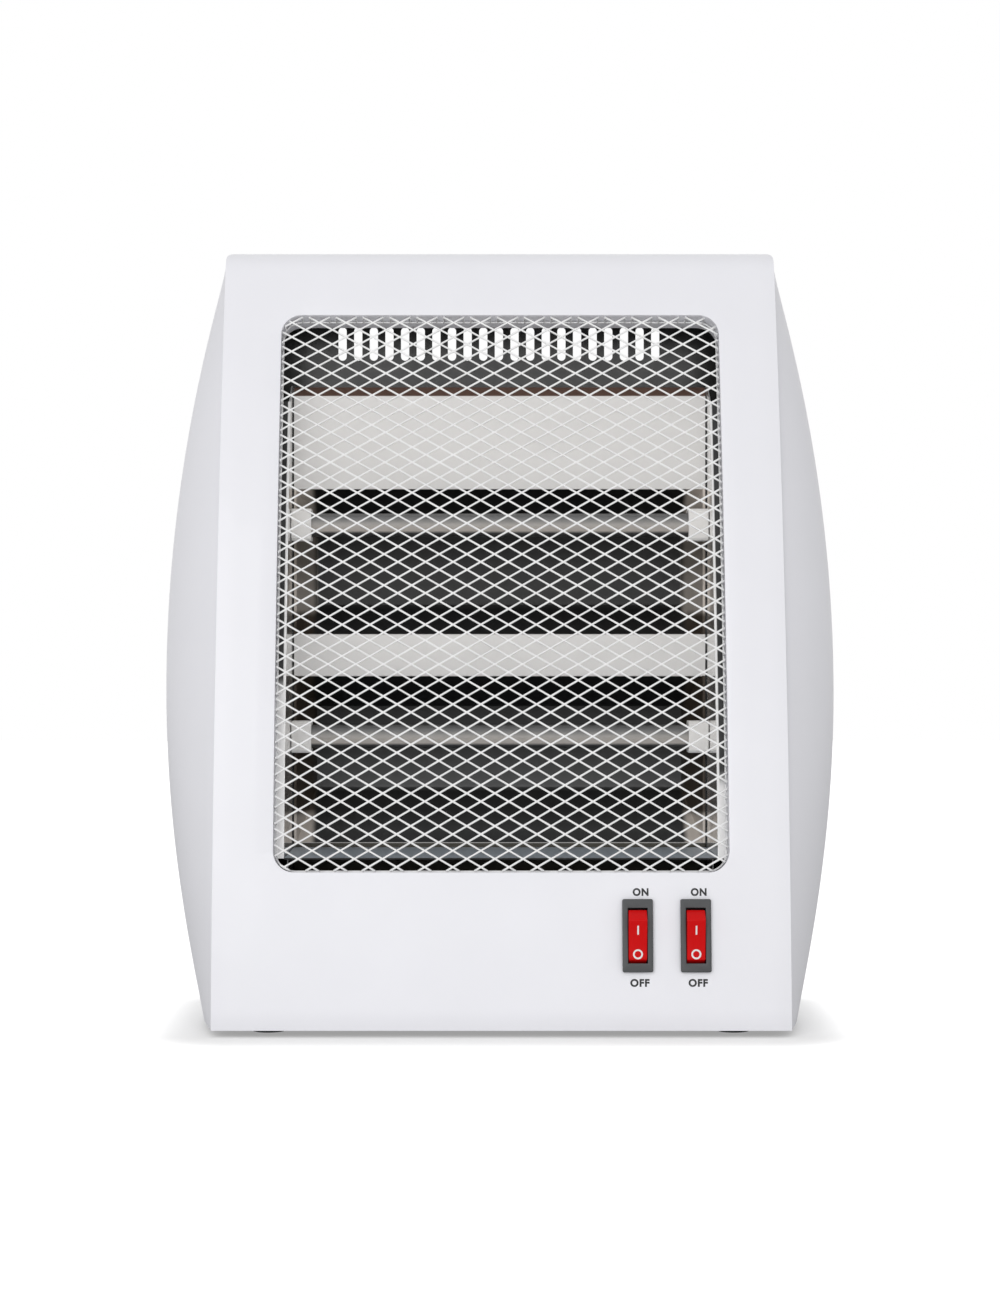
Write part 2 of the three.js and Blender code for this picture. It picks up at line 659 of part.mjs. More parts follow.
function addRearPanel() {
  const half = FACE_WIDTH / 2 - FIT;
  const r = CORNER_RADIUS;
  const top = INSIDE_TOP;
  const shape = outline([
    [FOOT_HEIGHT, -half], [top - r, -half], [top, -half + r],
    [top, half - r], [top - r, half], [FOOT_HEIGHT, half],
  ]);
  for (let i = 0; i < SLOT.count; i += 1) {
    const x = (i - (SLOT.count - 1) / 2) * SLOT.pitch;
    shape.holes.push(slotPath(SLOT_HEIGHT, x, SLOT.width / 2, SLOT.length / 2));
  }
  for (const side of [-1, 1]) {
    for (const z of REAR_SCREW_HEIGHTS) roundHole(shape, z, side * (FACE_WIDTH / 2 - SCREW_EDGE), HOLE);
  }
  roundHole(shape, GLAND.height, GLAND.x, GLAND.neck + FIT);
  add('rear_panel', plate('y', shape, REAR_Y - STEEL, REAR_Y), 'white');
}

// The cord's bush. Its flange stands as far out as the screw heads.
function addGland() {
  const flush = DEPTH / 2 - REAR_Y;
  const profile = [
    [GLAND.bore, -GLAND.behind], [GLAND.neck + 2 * FIT, -GLAND.behind], [GLAND.neck, -STEEL - FIT],
    [GLAND.neck, FIT], [GLAND.flange, FIT], [GLAND.flange - 1, flush], [GLAND.bore, flush],
  ];
  add('cord_gland', turned('y', profile, [GLAND.x, REAR_Y, GLAND.height], 16, true), 'black');
}

function addFeet() {
  const profile = [
    [FOOT_RADIUS - 0.8, 0], [FOOT_RADIUS, 0.8], [FOOT_RADIUS, FOOT_HEIGHT - FIT],
    [FOOT_NECK, FOOT_HEIGHT - FIT], [FOOT_NECK, FLOOR_TOP], [FOOT_BARB, FLOOR_TOP],
    [FOOT_NECK - 1, FLOOR_TOP + 2.5],
  ];
  for (const [side, x] of [['left', -FOOT_X], ['right', FOOT_X]]) {
    add(`foot_front_${side}`, turned('z', profile, [x, -FOOT_Y, 0], 12), 'black');
    add(`foot_rear_${side}`, turned('z', profile, [x, FOOT_Y, 0], 12), 'black');
  }
}

// A pan-head screw with the underside of its head at station 0. Its head points up the axis
// for a sign of 1 and down it for -1.
function screwProfile(sign) {
  return [
    [SHANK_RADIUS * 0.4, -SHANK_LENGTH], [SHANK_RADIUS, 1 - SHANK_LENGTH], [SHANK_RADIUS, 0],
    [HEAD_RADIUS, 0], [HEAD_RADIUS, HEAD_HEIGHT * 0.4], [HEAD_RADIUS * 0.55, HEAD_HEIGHT],
  ].map(([radius, station]) => [radius, sign * station]);
}

function addScrews() {
  const x = FACE_WIDTH / 2 - SCREW_EDGE;
  const levels = ['lower', 'middle', 'upper'];
  for (const [side, sign] of [['left', -1], ['right', 1]]) {
    REAR_SCREW_HEIGHTS.forEach((z, i) => {
      const screw = turned('y', screwProfile(1), [sign * x, REAR_Y + FIT, z], 8);
      add(`rear_screw_${side}_${levels[i]}`, screw, 'screw');
    });
    for (const [end, y] of [['front', LEG_FRONT], ['rear', BASE_SCREW_Y]]) {
      const screw = turned('z', screwProfile(-1), [sign * x, y, FOOT_HEIGHT - FIT], 8);
      add(`base_screw_${end}_${side}`, screw, 'screw');
    }
    for (const [level, { y, z }] of Object.entries(POSTS)) {
      const screw = turned('x', screwProfile(-sign), [sign * (CHASSIS_INNER - FIT), y, z], 8);
      add(`side_screw_${side}_${level}`, screw, 'screw');
    }
  }
}

// --- Guard -----------------------------------------------------------------------------

// A flat net of straight wires drawn by its faces: each face is a loop of node numbers, and the
// space outside is the last loop, run the other way round.
function netSkin(nodes, faces, halfWire, place) {
  const points = [];
  const keys = new Map();
  const around = nodes.map(() => []);
  faces.forEach((face, f) => {
    face.forEach((node, i) => {
      const before = nodes[face[(i + face.length - 1) % face.length]];
      const after = nodes[face[(i + 1) % face.length]];
      const here = nodes[node];
      const corner = insetCorner(before, here, after, halfWire);
      keys.set(`${f}:${node}`, points.length);
      around[node].push({ id: points.length, angle: Math.atan2(corner[1] - here[1], corner[0] - here[0]) });
      points.push(corner);
    });
  });
  const sheet = [];
  for (const ring of around) {
    ring.sort((a, b) => a.angle - b.angle);
    for (let i = 1; i < ring.length - 1; i += 1) sheet.push(ring[0].id, ring[i].id, ring[i + 1].id);
  }
  const edges = new Map();
  const walls = [];
  faces.forEach((face, f) => {
    face.forEach((node, i) => {
      const next = face[(i + 1) % face.length];
      const pair = [keys.get(`${f}:${node}`), keys.get(`${f}:${next}`)];
      const twin = edges.get(`${next}:${node}`);
      edges.set(`${node}:${next}`, pair);
      walls.push(pair);
      if (twin) sheet.push(pair[0], twin[1], twin[0], pair[0], twin[0], pair[1]);
    });
  });
  const count = points.length;
  const index = [];
  for (let i = 0; i < sheet.length; i += 3) {
    index.push(sheet[i], sheet[i + 1], sheet[i + 2]);
    index.push(count + sheet[i], count + sheet[i + 2], count + sheet[i + 1]);
  }
  for (const [a, b] of walls) index.push(a, b, count + b, a, count + b, count + a);
  const placed = [0, 1].flatMap((back) => points.map(([x, s]) => place(x, s, back)));
  const geometry = new THREE.BufferGeometry();
  geometry.setAttribute('position', new THREE.Float32BufferAttribute(placed.flatMap((p) => p.toArray()), 3));
  geometry.setIndex(index);
  return outward(geometry);
}

// The corner of a loop moved to its left by half a wire's width.
function insetCorner(before, here, after, half) {
  const first = new THREE.Vector2(here[0] - before[0], here[1] - before[1]).normalize();
  const second = new THREE.Vector2(after[0] - here[0], after[1] - here[1]).normalize();
  const mid = new THREE.Vector2(-first.y - second.y, first.x + second.x).normalize();
  const reach = half / Math.max(mid.dot(new THREE.Vector2(-first.y, first.x)), 0.2);
  return [here[0] + mid.x * reach, here[1] + mid.y * reach];
}

// Nodes and faces of a diamond net that fills a rectangle.
function diamondNet(halfWidth, bottom, length) {
  const across = 2 * GUARD_COLUMNS;
  const up = 2 * GUARD_ROWS;
  const nodes = [];
  const at = new Map();
  for (let j = 0; j <= up; j += 1) {
    for (let i = j % 2; i <= across; i += 2) {
      at.set(`${i},${j}`, nodes.length);
      nodes.push([-halfWidth + (2 * halfWidth * i) / across, bottom + (length * j) / up]);
    }
  }
  const faces = [];
  for (let j = 0; j <= up; j += 1) {
    for (let i = (j + 1) % 2; i <= across; i += 2) {
      const loop = [[i, j - 1], [i + 1, j], [i, j + 1], [i - 1, j]].map(([u, v]) => at.get(`${u},${v}`));
      const face = loop.filter((node) => node !== undefined);
      if (face.length > 2) faces.push(face);
    }
  }
  const rim = [];
  for (let j = 0; j < up; j += 2) rim.push(at.get(`0,${j}`));
  for (let i = 0; i < across; i += 2) rim.push(at.get(`${i},${up}`));
  for (let j = up; j > 0; j -= 2) rim.push(at.get(`${across},${j}`));
  for (let i = across; i > 0; i -= 2) rim.push(at.get(`${i},0`));
  faces.push(rim);
  return { nodes, faces };
}

function addGuard() {
  const outer = -GUARD_GAP;
  const middle = outer - GUARD_WIRE / 2;
  const net = diamondNet(WINDOW_WIDTH / 2 + middle, WINDOW_BOTTOM - middle, WINDOW_LENGTH + 2 * middle);
  const place = (x, s, back) => onFace(x, s, GUARD_INSET + back * GUARD_THICKNESS);
  const wires = toSolid(netSkin(net.nodes, net.faces, GUARD_WIRE / 2, place));
  const inside = toSolid(windowPlug(middle));
  const rim = toSolid(windowBand(outer - GUARD_WIRE, outer, GUARD_INSET - 0.05, COLLAR_DEPTH));
  add('guard_mesh', toGeometry(wires.intersect(inside).add(rim)), 'guard');
}

// --- Reflector -------------------------------------------------------------------------

function troughRing(half, bottom, top, y, grow) {
  return [
    vector(-half - grow, y, bottom - grow), vector(half + grow, y, bottom - grow),
    vector(half + grow, y, top + grow), vector(-half - grow, y, top + grow),
  ];
}

// The hollow of a trough, or its outside when grown by the sheet.
function troughBody(trough, grow) {
  const reach = grow > 0 ? BRIGHT_SHEET / 2 : -LIP_SET;
  const slope = reach / (TROUGH_BACK - LAND_Y);
  const mix = (mouth, back) => mouth + (back - mouth) * slope;
  return skin([
    troughRing(mix(TROUGH_HALF, TROUGH_BACK_HALF), mix(trough.bottom, trough.backBottom),
      mix(trough.top, trough.backTop), LAND_Y + reach, grow),
    troughRing(TROUGH_BACK_HALF, trough.backBottom, trough.backTop, TROUGH_BACK + grow, grow),
  ]);
}

function addReflector() {
  const half = LAND_HALF - FIT;
  const slab = block([-half, half], [LAND_Y, LAND_Y + BRIGHT_SHEET], [LAND_BOTTOM, LAND_TOP]);
  const lip = plate('x', outline([
    [LAND_Y, LAND_TOP - BRIGHT_SHEET],
    [LAND_Y + BRIGHT_SHEET, LAND_TOP - BRIGHT_SHEET],
    [LAND_Y + LIP_SET, LAND_TOP + LIP_RISE - BRIGHT_SHEET],
    [LAND_Y + LIP_SET, LAND_TOP + LIP_RISE],
    [LAND_Y, LAND_TOP],
  ]), -half, half);
  const troughs = [TROUGH_UPPER, TROUGH_LOWER];
  const outer = troughs.map((trough) => troughBody(trough, BRIGHT_SHEET));
  const hollow = troughs.map((trough) => troughBody(trough, 0));
  add('reflector', carve([slab, lip, ...outer], hollow), 'bright');
}

// Outline in Y and Z of a side plate: bright wall above, narrow leg down to the base.
function sidePlateOutline() {
  const steps = 10;
  const rear = LAND_Y + BRIGHT_SHEET + LIP_SET;
  const points = [[LEG_FRONT, FLOOR_TOP], [LEG_FRONT, DECK_HEIGHT - BRIGHT_SHEET]];
  for (let i = 0; i <= steps; i += 1) {
    const z = DECK_HEIGHT - BRIGHT_SHEET + ((PLATE_SHOULDER - DECK_HEIGHT + BRIGHT_SHEET) * i) / steps;
    points.push([faceY(z, PLATE_INSET), z]);
  }
  points.push([LAND_Y, LAND_TOP + LIP_RISE], [rear, LAND_TOP + LIP_RISE], [rear, FLOOR_TOP]);
  return outline(points.reverse());
}

// The outward fold along the front of a side plate.
function sidePlateFold() {
  const steps = 10;
  const bottom = DECK_HEIGHT - BRIGHT_SHEET;
  const from = LAND_HALF + BRIGHT_SHEET / 2;
  const to = LAND_HALF + BRIGHT_SHEET + PLATE_FLANGE;
  const rings = [];
  for (let i = 0; i <= steps; i += 1) {
    const z = bottom + ((PLATE_SHOULDER - bottom) * i) / steps;
    const front = faceY(z, PLATE_INSET);
    const back = faceY(z, PLATE_INSET + BRIGHT_SHEET);
    rings.push([vector(from, front, z), vector(to, front, z), vector(to, back, z), vector(from, back, z)]);
  }
  return skin(rings);
}

function sidePlateGeometry() {
  const web = plate('x', sidePlateOutline(), LAND_HALF, LAND_HALF + BRIGHT_SHEET);
  const bores = Object.values(TUBE_HEIGHTS).map((z) => (
    rod('x', PIN_RADIUS + FIT, LAND_HALF - 1, LAND_HALF + 2, [0, TUBE_Y, z], 10)
  ));
  return carve([web, sidePlateFold()], bores);
}

function addDeck() {
  const half = LAND_HALF - FIT;
  const rear = LAND_Y - FIT;
  const shape = outline([[-half, DECK_FRONT], [half, DECK_FRONT], [half, rear], [-half, rear]]);
  add('deck_plate', plate('z', shape, DECK_HEIGHT - BRIGHT_SHEET, DECK_HEIGHT), 'bright');
}

// --- Heating tubes ---------------------------------------------------------------------

function holderGeometry() {
  const half = HOLDER_SIZE / 2;
  const bevel = 1.2;
  const shape = outline([
    [-half + bevel, -half], [half - bevel, -half], [half, -half + bevel], [half, half - bevel],
    [half - bevel, half], [-half + bevel, half], [-half, half - bevel], [-half, -half + bevel],
  ]);
  const body = plate('x', shape, HOLDER_INNER, HOLDER_OUTER);
  const seat = HOLDER_INNER + HOLDER_SEAT + FIT;
  const bore = rod('x', TUBE_RADIUS + FIT, HOLDER_INNER - 1, seat, [0, 0, 0], 16);
  const pinBore = rod('x', PIN_RADIUS + FIT, seat - 1, HOLDER_OUTER + 1, [0, 0, 0], 10);
  return carve([body], [bore, pinBore]);
}

function addTube(level, z) {
  const group = new THREE.Group();
  group.position.set(0, TUBE_Y, z);
  heater.add(group);
  const half = HOLDER_INNER + HOLDER_SEAT;
  const inner = TUBE_RADIUS - TUBE_WALL;
  const profile = [[inner, -half], [TUBE_RADIUS, -half], [TUBE_RADIUS, half], [inner, half]];
  add(`quartz_tube_${level}`, turned('x', profile, [0, 0, 0], 20, true), 'quartz', group);
  const legs = 2 * COIL_WIRE;
  const pinInner = HOLDER_INNER - HOLDER_SEAT;
  const reach = 2 * (pinInner - FIT - legs);
  const coil = woundWire(reach, inner - FIT - COIL_WIRE, COIL_WIRE, COIL_TURNS, legs);
  console.log(`heating_coil_${level}: least gap to itself ${coil.gap.toFixed(2)} mm`);
  add(`heating_coil_${level}`, coil.geometry, 'wire', group);
  const pinOuter = LAND_HALF + BRIGHT_SHEET + PIN_OUTSIDE;
  const pin = turned('x', [[PIN_RADIUS, pinInner], [PIN_RADIUS, pinOuter]], [0, 0, 0], 10);
  const holder = holderGeometry();
  add(`tube_holder_${level}_right`, holder, 'ceramic', group);
  add(`tube_holder_${level}_left`, mirrored(holder), 'ceramic', group);
  add(`tube_terminal_${level}_right`, pin, 'steel', group);
  add(`tube_terminal_${level}_left`, mirrored(pin), 'steel', group);
}

// --- Switches --------------------------------------------------------------------------

function roundedRectangle(halfU, halfV, radius) {
  const shape = new THREE.Shape();
  shape.absarc(halfU - radius, -halfV + radius, radius, -Math.PI / 2, 0, false);
  shape.absarc(halfU - radius, halfV - radius, radius, 0, Math.PI / 2, false);
  shape.absarc(-halfU + radius, halfV - radius, radius, Math.PI / 2, Math.PI, false);
  shape.absarc(-halfU + radius, -halfV + radius, radius, Math.PI, (3 * Math.PI) / 2, false);
  return shape;
}

// In a switch's frame the pivot is the origin and the face lies at y = -PIVOT_BEHIND.
const BEZEL_BACK = -PIVOT_BEHIND - FIT;
const BEZEL_FRONT = BEZEL_BACK - BEZEL_THICKNESS;
const WELL_BACK = SWITCH_DEPTH - PIVOT_BEHIND - 2;

function switchBodyGeometry() {
  const frame = roundedRectangle(BEZEL_LENGTH / 2, BEZEL_WIDTH / 2, BEZEL_CORNER);
  const bezel = plate('y', frame, BEZEL_FRONT, BEZEL_BACK);
  const across = [-BODY_HALF_WIDTH, BODY_HALF_WIDTH];
  const up = [-BODY_HALF_LENGTH, BODY_HALF_LENGTH];
  const body = block(across, [BEZEL_BACK - BEZEL_THICKNESS / 2, SWITCH_DEPTH - PIVOT_BEHIND], up);
  const wellAcross = [-WELL_WIDTH / 2, WELL_WIDTH / 2];
  const mouth = block(wellAcross, [BEZEL_FRONT - 1, BEZEL_BACK + 1], [-WELL_LENGTH / 2, WELL_LENGTH / 2]);
  const wellUp = Math.hypot(ROCKER_END, ROCKER_END_OUT) + RUN;
  const well = block(wellAcross, [BEZEL_BACK, WELL_BACK], [-wellUp, wellUp]);
  const axle = rod('x', PIVOT_RADIUS + RUN, -BODY_HALF_WIDTH - 1, BODY_HALF_WIDTH + 1, [0, 0, 0], 12);
  return carve([bezel, body], [mouth, well, axle]);
}

// The rocker at rest: its upper end stands out and its lower end is pressed in.
function rockerGeometry() {
  const half = WELL_WIDTH / 2 - RUN;
  const under = PIVOT_RADIUS + 1;
  const points = [
    [ROCKER_END_OUT, ROCKER_END], [ROCKER_CROWN, ROCKER_RIDGE], [ROCKER_VALLEY, 0],
    [ROCKER_CROWN, -ROCKER_RIDGE], [ROCKER_END_OUT, -ROCKER_END], [0, -ROCKER_RIDGE],
    [-under, -ROCKER_RIDGE / 2], [-under, ROCKER_RIDGE / 2], [0, ROCKER_RIDGE],
  ].map(([out, up]) => [-out, up]);
  const body = plate('x', outline(points), -half, half);
  const reach = BODY_HALF_WIDTH - FIT;
  const axle = rod('x', PIVOT_RADIUS, -reach, reach, [0, 0, 0], 12);
  return carve([body, axle], []).rotateX(ROCKER_TILT);
}

function addSwitch(side, group) {
  add(`switch_body_${side}`, switchBodyGeometry(), 'grey', group);
  add(`rocker_${side}`, rockerGeometry(), 'red', group);
  const back = SWITCH_DEPTH - PIVOT_BEHIND + FIT;
  for (const [end, z] of [['upper', TAB.spread / 2], ['lower', -TAB.spread / 2]]) {
    const thick = [z - TAB.thickness / 2, z + TAB.thickness / 2];
    const tab = block([-TAB.width / 2, TAB.width / 2], [back, back + TAB.length], thick);
    add(`switch_tab_${side}_${end}`, tab, 'screw', group);
  }
}

// --- Tip-over switch and wiring --------------------------------------------------------

function addTipSwitch() {
  const shape = roundedRectangle(TIP.width / 2, TIP.depth / 2, 1);
  const body = plate('z', shape, FLOOR_TOP, FLOOR_TOP + TIP.height).translate(TIP.x, TIP.y, 0);
  const ceiling = FLOOR_TOP + TIP.height - 2;
  const bore = rod('z', PLUNGER_COLLAR + RUN, FLOOR_TOP - 1, ceiling, [TIP.x, TIP.y, 0], 16);
  add('tip_switch_body', carve([body], [bore]), 'black');
  const shoulder = FLOOR_TOP + TIP.travel + RUN;
  const top = shoulder + COLLAR_THICKNESS;
  const profile = [
    [PLUNGER_RADIUS - 0.6, 0], [PLUNGER_RADIUS, 0.6], [PLUNGER_RADIUS, shoulder],
    [PLUNGER_COLLAR, shoulder], [PLUNGER_COLLAR, top],
  ];
  add('tip_switch_plunger', turned('z', profile, [TIP.x, TIP.y, 0], 16), 'lead');
  const length = ceiling - top - 2 * FIT - 2 * SPRING.wire;
  const spring = woundWire(length, SPRING.radius, SPRING.wire, SPRING.turns, 0);
  console.log(`tip_switch_spring: least gap to itself ${spring.gap.toFixed(2)} mm`);
  const upright = spring.geometry.rotateY(-Math.PI / 2);
  upright.translate(TIP.x, TIP.y, (ceiling + top) / 2);
  add('tip_switch_spring', upright, 'screw');
}

function addTerminalBlock() {
  const x = [BLOCK.x - BLOCK.width / 2, BLOCK.x + BLOCK.width / 2];
  const y = [BLOCK_Y - BLOCK.depth / 2, BLOCK_Y + BLOCK.depth / 2];
  const body = block(x, y, [FLOOR_TOP, FLOOR_TOP + BLOCK.height]);
  const ways = [-1, 0, 1].map((way) => (
    rod('z', 2.2, FLOOR_TOP + BLOCK.height / 2, FLOOR_TOP + BLOCK.height + 1,
      [BLOCK.x + (way * BLOCK.width) / 3.4, BLOCK_Y, 0], 10)
  ));
  add('terminal_block', carve([body], ways), 'lead');
}

function lead(name, points, steps) {
  const path = new THREE.CatmullRomCurve3(points, false, 'centripetal');
  const section = new THREE.Shape();
  section.absarc(0, 0, LEAD_RADIUS, 0, 2 * Math.PI, false);
  const geometry = new THREE.ExtrudeGeometry(section, {
    steps, extrudePath: path, bevelEnabled: false, curveSegments: 3,
  });
  add(name, outward(mergedOf(geometry)), 'lead');
}

// The point 0.3 mm behind a switch tab's end.
function tabEnd(group, end, back) {
  const z = (end === 'upper' ? 1 : -1) * (TAB.spread / 2);
  const y = SWITCH_DEPTH - PIVOT_BEHIND + TAB.length + 2 * FIT + back;
  return vector(0, y, z).applyMatrix4(group.matrixWorld);
}

function addLeads(groups) {
  const pinEnd = LAND_HALF + BRIGHT_SHEET + PIN_OUTSIDE + FIT;
  const { upper, lower } = TUBE_HEIGHTS;
  const bend = 4;
  const onPin = pinEnd - PIN_OUTSIDE / 2;
  lead('lead_tube_link', [
    vector(-pinEnd, TUBE_Y, upper),
    vector(-pinEnd - bend, TUBE_Y, upper),
    vector(-pinEnd - bend, TUBE_Y, upper - 2 * bend),
    vector(-pinEnd - bend, TUBE_Y, (upper + lower) / 2),
    vector(-onPin, TUBE_Y, lower + PIN_RADIUS + 3 * bend),
    vector(-onPin, TUBE_Y, lower + PIN_RADIUS + FIT),
  ], 16);
  const blockEnd = BLOCK.x - BLOCK.width / 2 - FIT;
  const blockLevel = FLOOR_TOP + BLOCK.height / 2;
  lead('lead_return', [
    vector(-pinEnd, TUBE_Y, lower),
    vector(-pinEnd - bend, TUBE_Y, lower),
    vector(-pinEnd - bend, TUBE_Y, lower - 2 * bend),
    vector(-pinEnd - bend, BLOCK_Y - bend, lower / 2),
    vector(-LAND_HALF, BLOCK_Y + bend, BLOCK.height + 2 * bend),
    vector((blockEnd - LAND_HALF) / 2, BLOCK_Y + bend, blockLevel),
    vector(blockEnd - bend, BLOCK_Y, blockLevel),
    vector(blockEnd, BLOCK_Y, blockLevel),
  ], 20);
  const [left, right] = groups;
  for (const [name, level, group, out] of [
    ['lead_upper_tube', upper, left, 3 * bend], ['lead_lower_tube', lower, right, bend],
  ]) {
    const end = tabEnd(group, 'upper', 0);
    const approach = tabEnd(group, 'upper', 2 * bend);
    lead(name, [
      vector(pinEnd, TUBE_Y, level),
      vector(pinEnd + out, TUBE_Y, level),
      vector(pinEnd + out, TUBE_Y, level - 2 * bend),
      vector(pinEnd + out, LEG_FRONT / 2, DECK_HEIGHT),
      vector(pinEnd - bend, LEG_FRONT * 2 + bend / 2, end.z + out),
      vector(approach.x + bend, approach.y, end.z),
      approach,
      end,
    ], 22);
  }
  const tipEnd = TIP.x + TIP.width / 2 + FIT;
  const tipLevel = FLOOR_TOP + TIP.height / 2;
  lead('lead_tip_switch', [
    vector(tipEnd, TIP.y, tipLevel),
    vector(tipEnd + bend, TIP.y, tipLevel),
    vector(BLOCK.x - bend, TIP.y, tipLevel),
    vector(BLOCK.x, TIP.y + 2 * bend, blockLevel),
    vector(BLOCK.x, BLOCK_Y - BLOCK.depth / 2 - FIT, blockLevel),
  ], 14);
}

// --- Build -----------------------------------------------------------------------------

const switches = [switchFrame('left'), switchFrame('right')];
addFrontCover(switches);
addPair('side_cover', sideCoverGeometry(), 'side');
addPair('chassis_side', chassisGeometry(), 'steel');
addBasePlate();
addRearPanel();
addGland();
addFeet();
addScrews();
addGuard();
addReflector();
addPair('reflector_side_plate', sidePlateGeometry(), 'bright');
addDeck();
addTube('upper', TUBE_HEIGHTS.upper);
addTube('lower', TUBE_HEIGHTS.lower);
addSwitch('left', switches[0]);
addSwitch('right', switches[1]);
addTipSwitch();
addTerminalBlock();
addLeads(switches);

export default heater;
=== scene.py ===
"""Free-standing electric bar heater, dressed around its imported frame.

Blender works in metres and the sizes here are in millimetres. X runs to the right seen from
the front, Y from front to back, and Z is up.
"""
import json
import logging
import math
from collections.abc import Callable, Iterable, Sequence
from dataclasses import dataclass
from enum import Enum
from typing import Any

import bmesh
import bpy
from mathutils import Matrix, Vector

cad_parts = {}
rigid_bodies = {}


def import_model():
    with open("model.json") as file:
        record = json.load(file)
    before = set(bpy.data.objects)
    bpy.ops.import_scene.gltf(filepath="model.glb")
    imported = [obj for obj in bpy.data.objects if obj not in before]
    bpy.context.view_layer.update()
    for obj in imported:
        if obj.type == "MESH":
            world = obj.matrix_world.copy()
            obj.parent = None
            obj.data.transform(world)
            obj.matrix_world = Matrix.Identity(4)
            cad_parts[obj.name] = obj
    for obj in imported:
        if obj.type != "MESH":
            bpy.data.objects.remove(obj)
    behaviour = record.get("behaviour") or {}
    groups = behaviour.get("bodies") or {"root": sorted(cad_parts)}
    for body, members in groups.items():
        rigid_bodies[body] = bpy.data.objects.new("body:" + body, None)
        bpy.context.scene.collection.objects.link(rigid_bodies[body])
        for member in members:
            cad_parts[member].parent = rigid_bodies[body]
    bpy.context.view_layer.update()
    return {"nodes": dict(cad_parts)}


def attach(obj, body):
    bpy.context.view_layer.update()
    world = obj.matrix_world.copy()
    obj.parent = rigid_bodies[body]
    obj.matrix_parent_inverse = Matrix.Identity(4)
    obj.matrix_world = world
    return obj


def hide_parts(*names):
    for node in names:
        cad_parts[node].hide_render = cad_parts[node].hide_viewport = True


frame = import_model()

NODES = frame["nodes"]
MM = 0.001
FIT = 0.3  # usual clearance between two pieces, in millimetres
MERGE = 0.002  # corners closer than this become one, in millimetres
REAR_SCREW_HEIGHTS = (20, 179.999, 339.998)
SCREW_LINE = 120  # rear and base screws lie this far from the middle
POSTS = (("lower", 4, 62), ("upper", 30, 299.998))  # Y and Z of the side covers' posts
CHASSIS_OUTSIDE = 125.7
CASE = "case"

Colour = tuple[float, float, float]
Point = tuple[float, float, float]
Pair = tuple[float, float]

log = logging.getLogger("heater")


class Side(Enum):
    """The two sides of the heater, seen from the front."""

    LEFT = -1
    RIGHT = 1

    @property
    def word(self) -> str:
        """The side's name as the nodes spell it."""
        return self.name.lower()


# --- Shader nodes ----------------------------------------------------------------------


def add_node(
    tree: bpy.types.NodeTree,
    kind: str,
    settings: dict[str, Any] | None,
    inputs: dict[str | int, Any] | None,
) -> bpy.types.Node:
    """Adds a node to a tree.

    Args:
        tree: the tree.
        kind: the node's type.
        settings: its properties, set first.
        inputs: values, sockets or lists of sockets for its inputs, by name or number.

    Returns:
        The node.
    """
    node = tree.nodes.new(kind)
    for name, value in (settings or {}).items():
        setattr(node, name, value)
    for name, value in (inputs or {}).items():
        for part in value if isinstance(value, list) else [value]:
            if isinstance(part, bpy.types.NodeSocket):
                tree.links.new(part, node.inputs[name])
            else:
                node.inputs[name].default_value = part
    return node


class Value:
    """A shader socket that takes part in Python arithmetic."""

    def __init__(self, recipe: "Recipe", socket: bpy.types.NodeSocket) -> None:
        """Wraps a socket of a recipe."""
        self.recipe = recipe
        self.socket = socket

    def _math(self, operation: str, *terms: "Value | float") -> "Value":
        """The result of one Math node on the terms."""
        return self.recipe.node("ShaderNodeMath", {"operation": operation}, dict(enumerate(terms)))

    def __add__(self, other: "Value | float") -> "Value":
        """Sum."""
        return self._math("ADD", self, other)

    def __radd__(self, other: float) -> "Value":
        """Sum with a number on the left."""
        return self._math("ADD", other, self)

    def __sub__(self, other: "Value | float") -> "Value":
        """Difference."""
        return self._math("SUBTRACT", self, other)

    def __mul__(self, other: "Value | float") -> "Value":
        """Product."""
        return self._math("MULTIPLY", self, other)

    def __truediv__(self, other: "Value | float") -> "Value":
        """Quotient."""
        return self._math("DIVIDE", self, other)

    def __abs__(self) -> "Value":
        """Size without its sign."""
        return self._math("ABSOLUTE", self)

    def over(self, start: float, end: float) -> "Value":
        """A smooth step.

        Args:
            start: where the step is 0.
            end: where the step is 1.

        Returns:
            The step, from 0 to 1.
        """
        settings = {"interpolation_type": "SMOOTHSTEP"}
        inputs = {"Value": self, "From Min": start, "From Max": end}
        return self.recipe.node("ShaderNodeMapRange", settings, inputs)

    def highest(self, other: "Value | float") -> "Value":
        """The greater of two values."""
        return self._math("MAXIMUM", self, other)


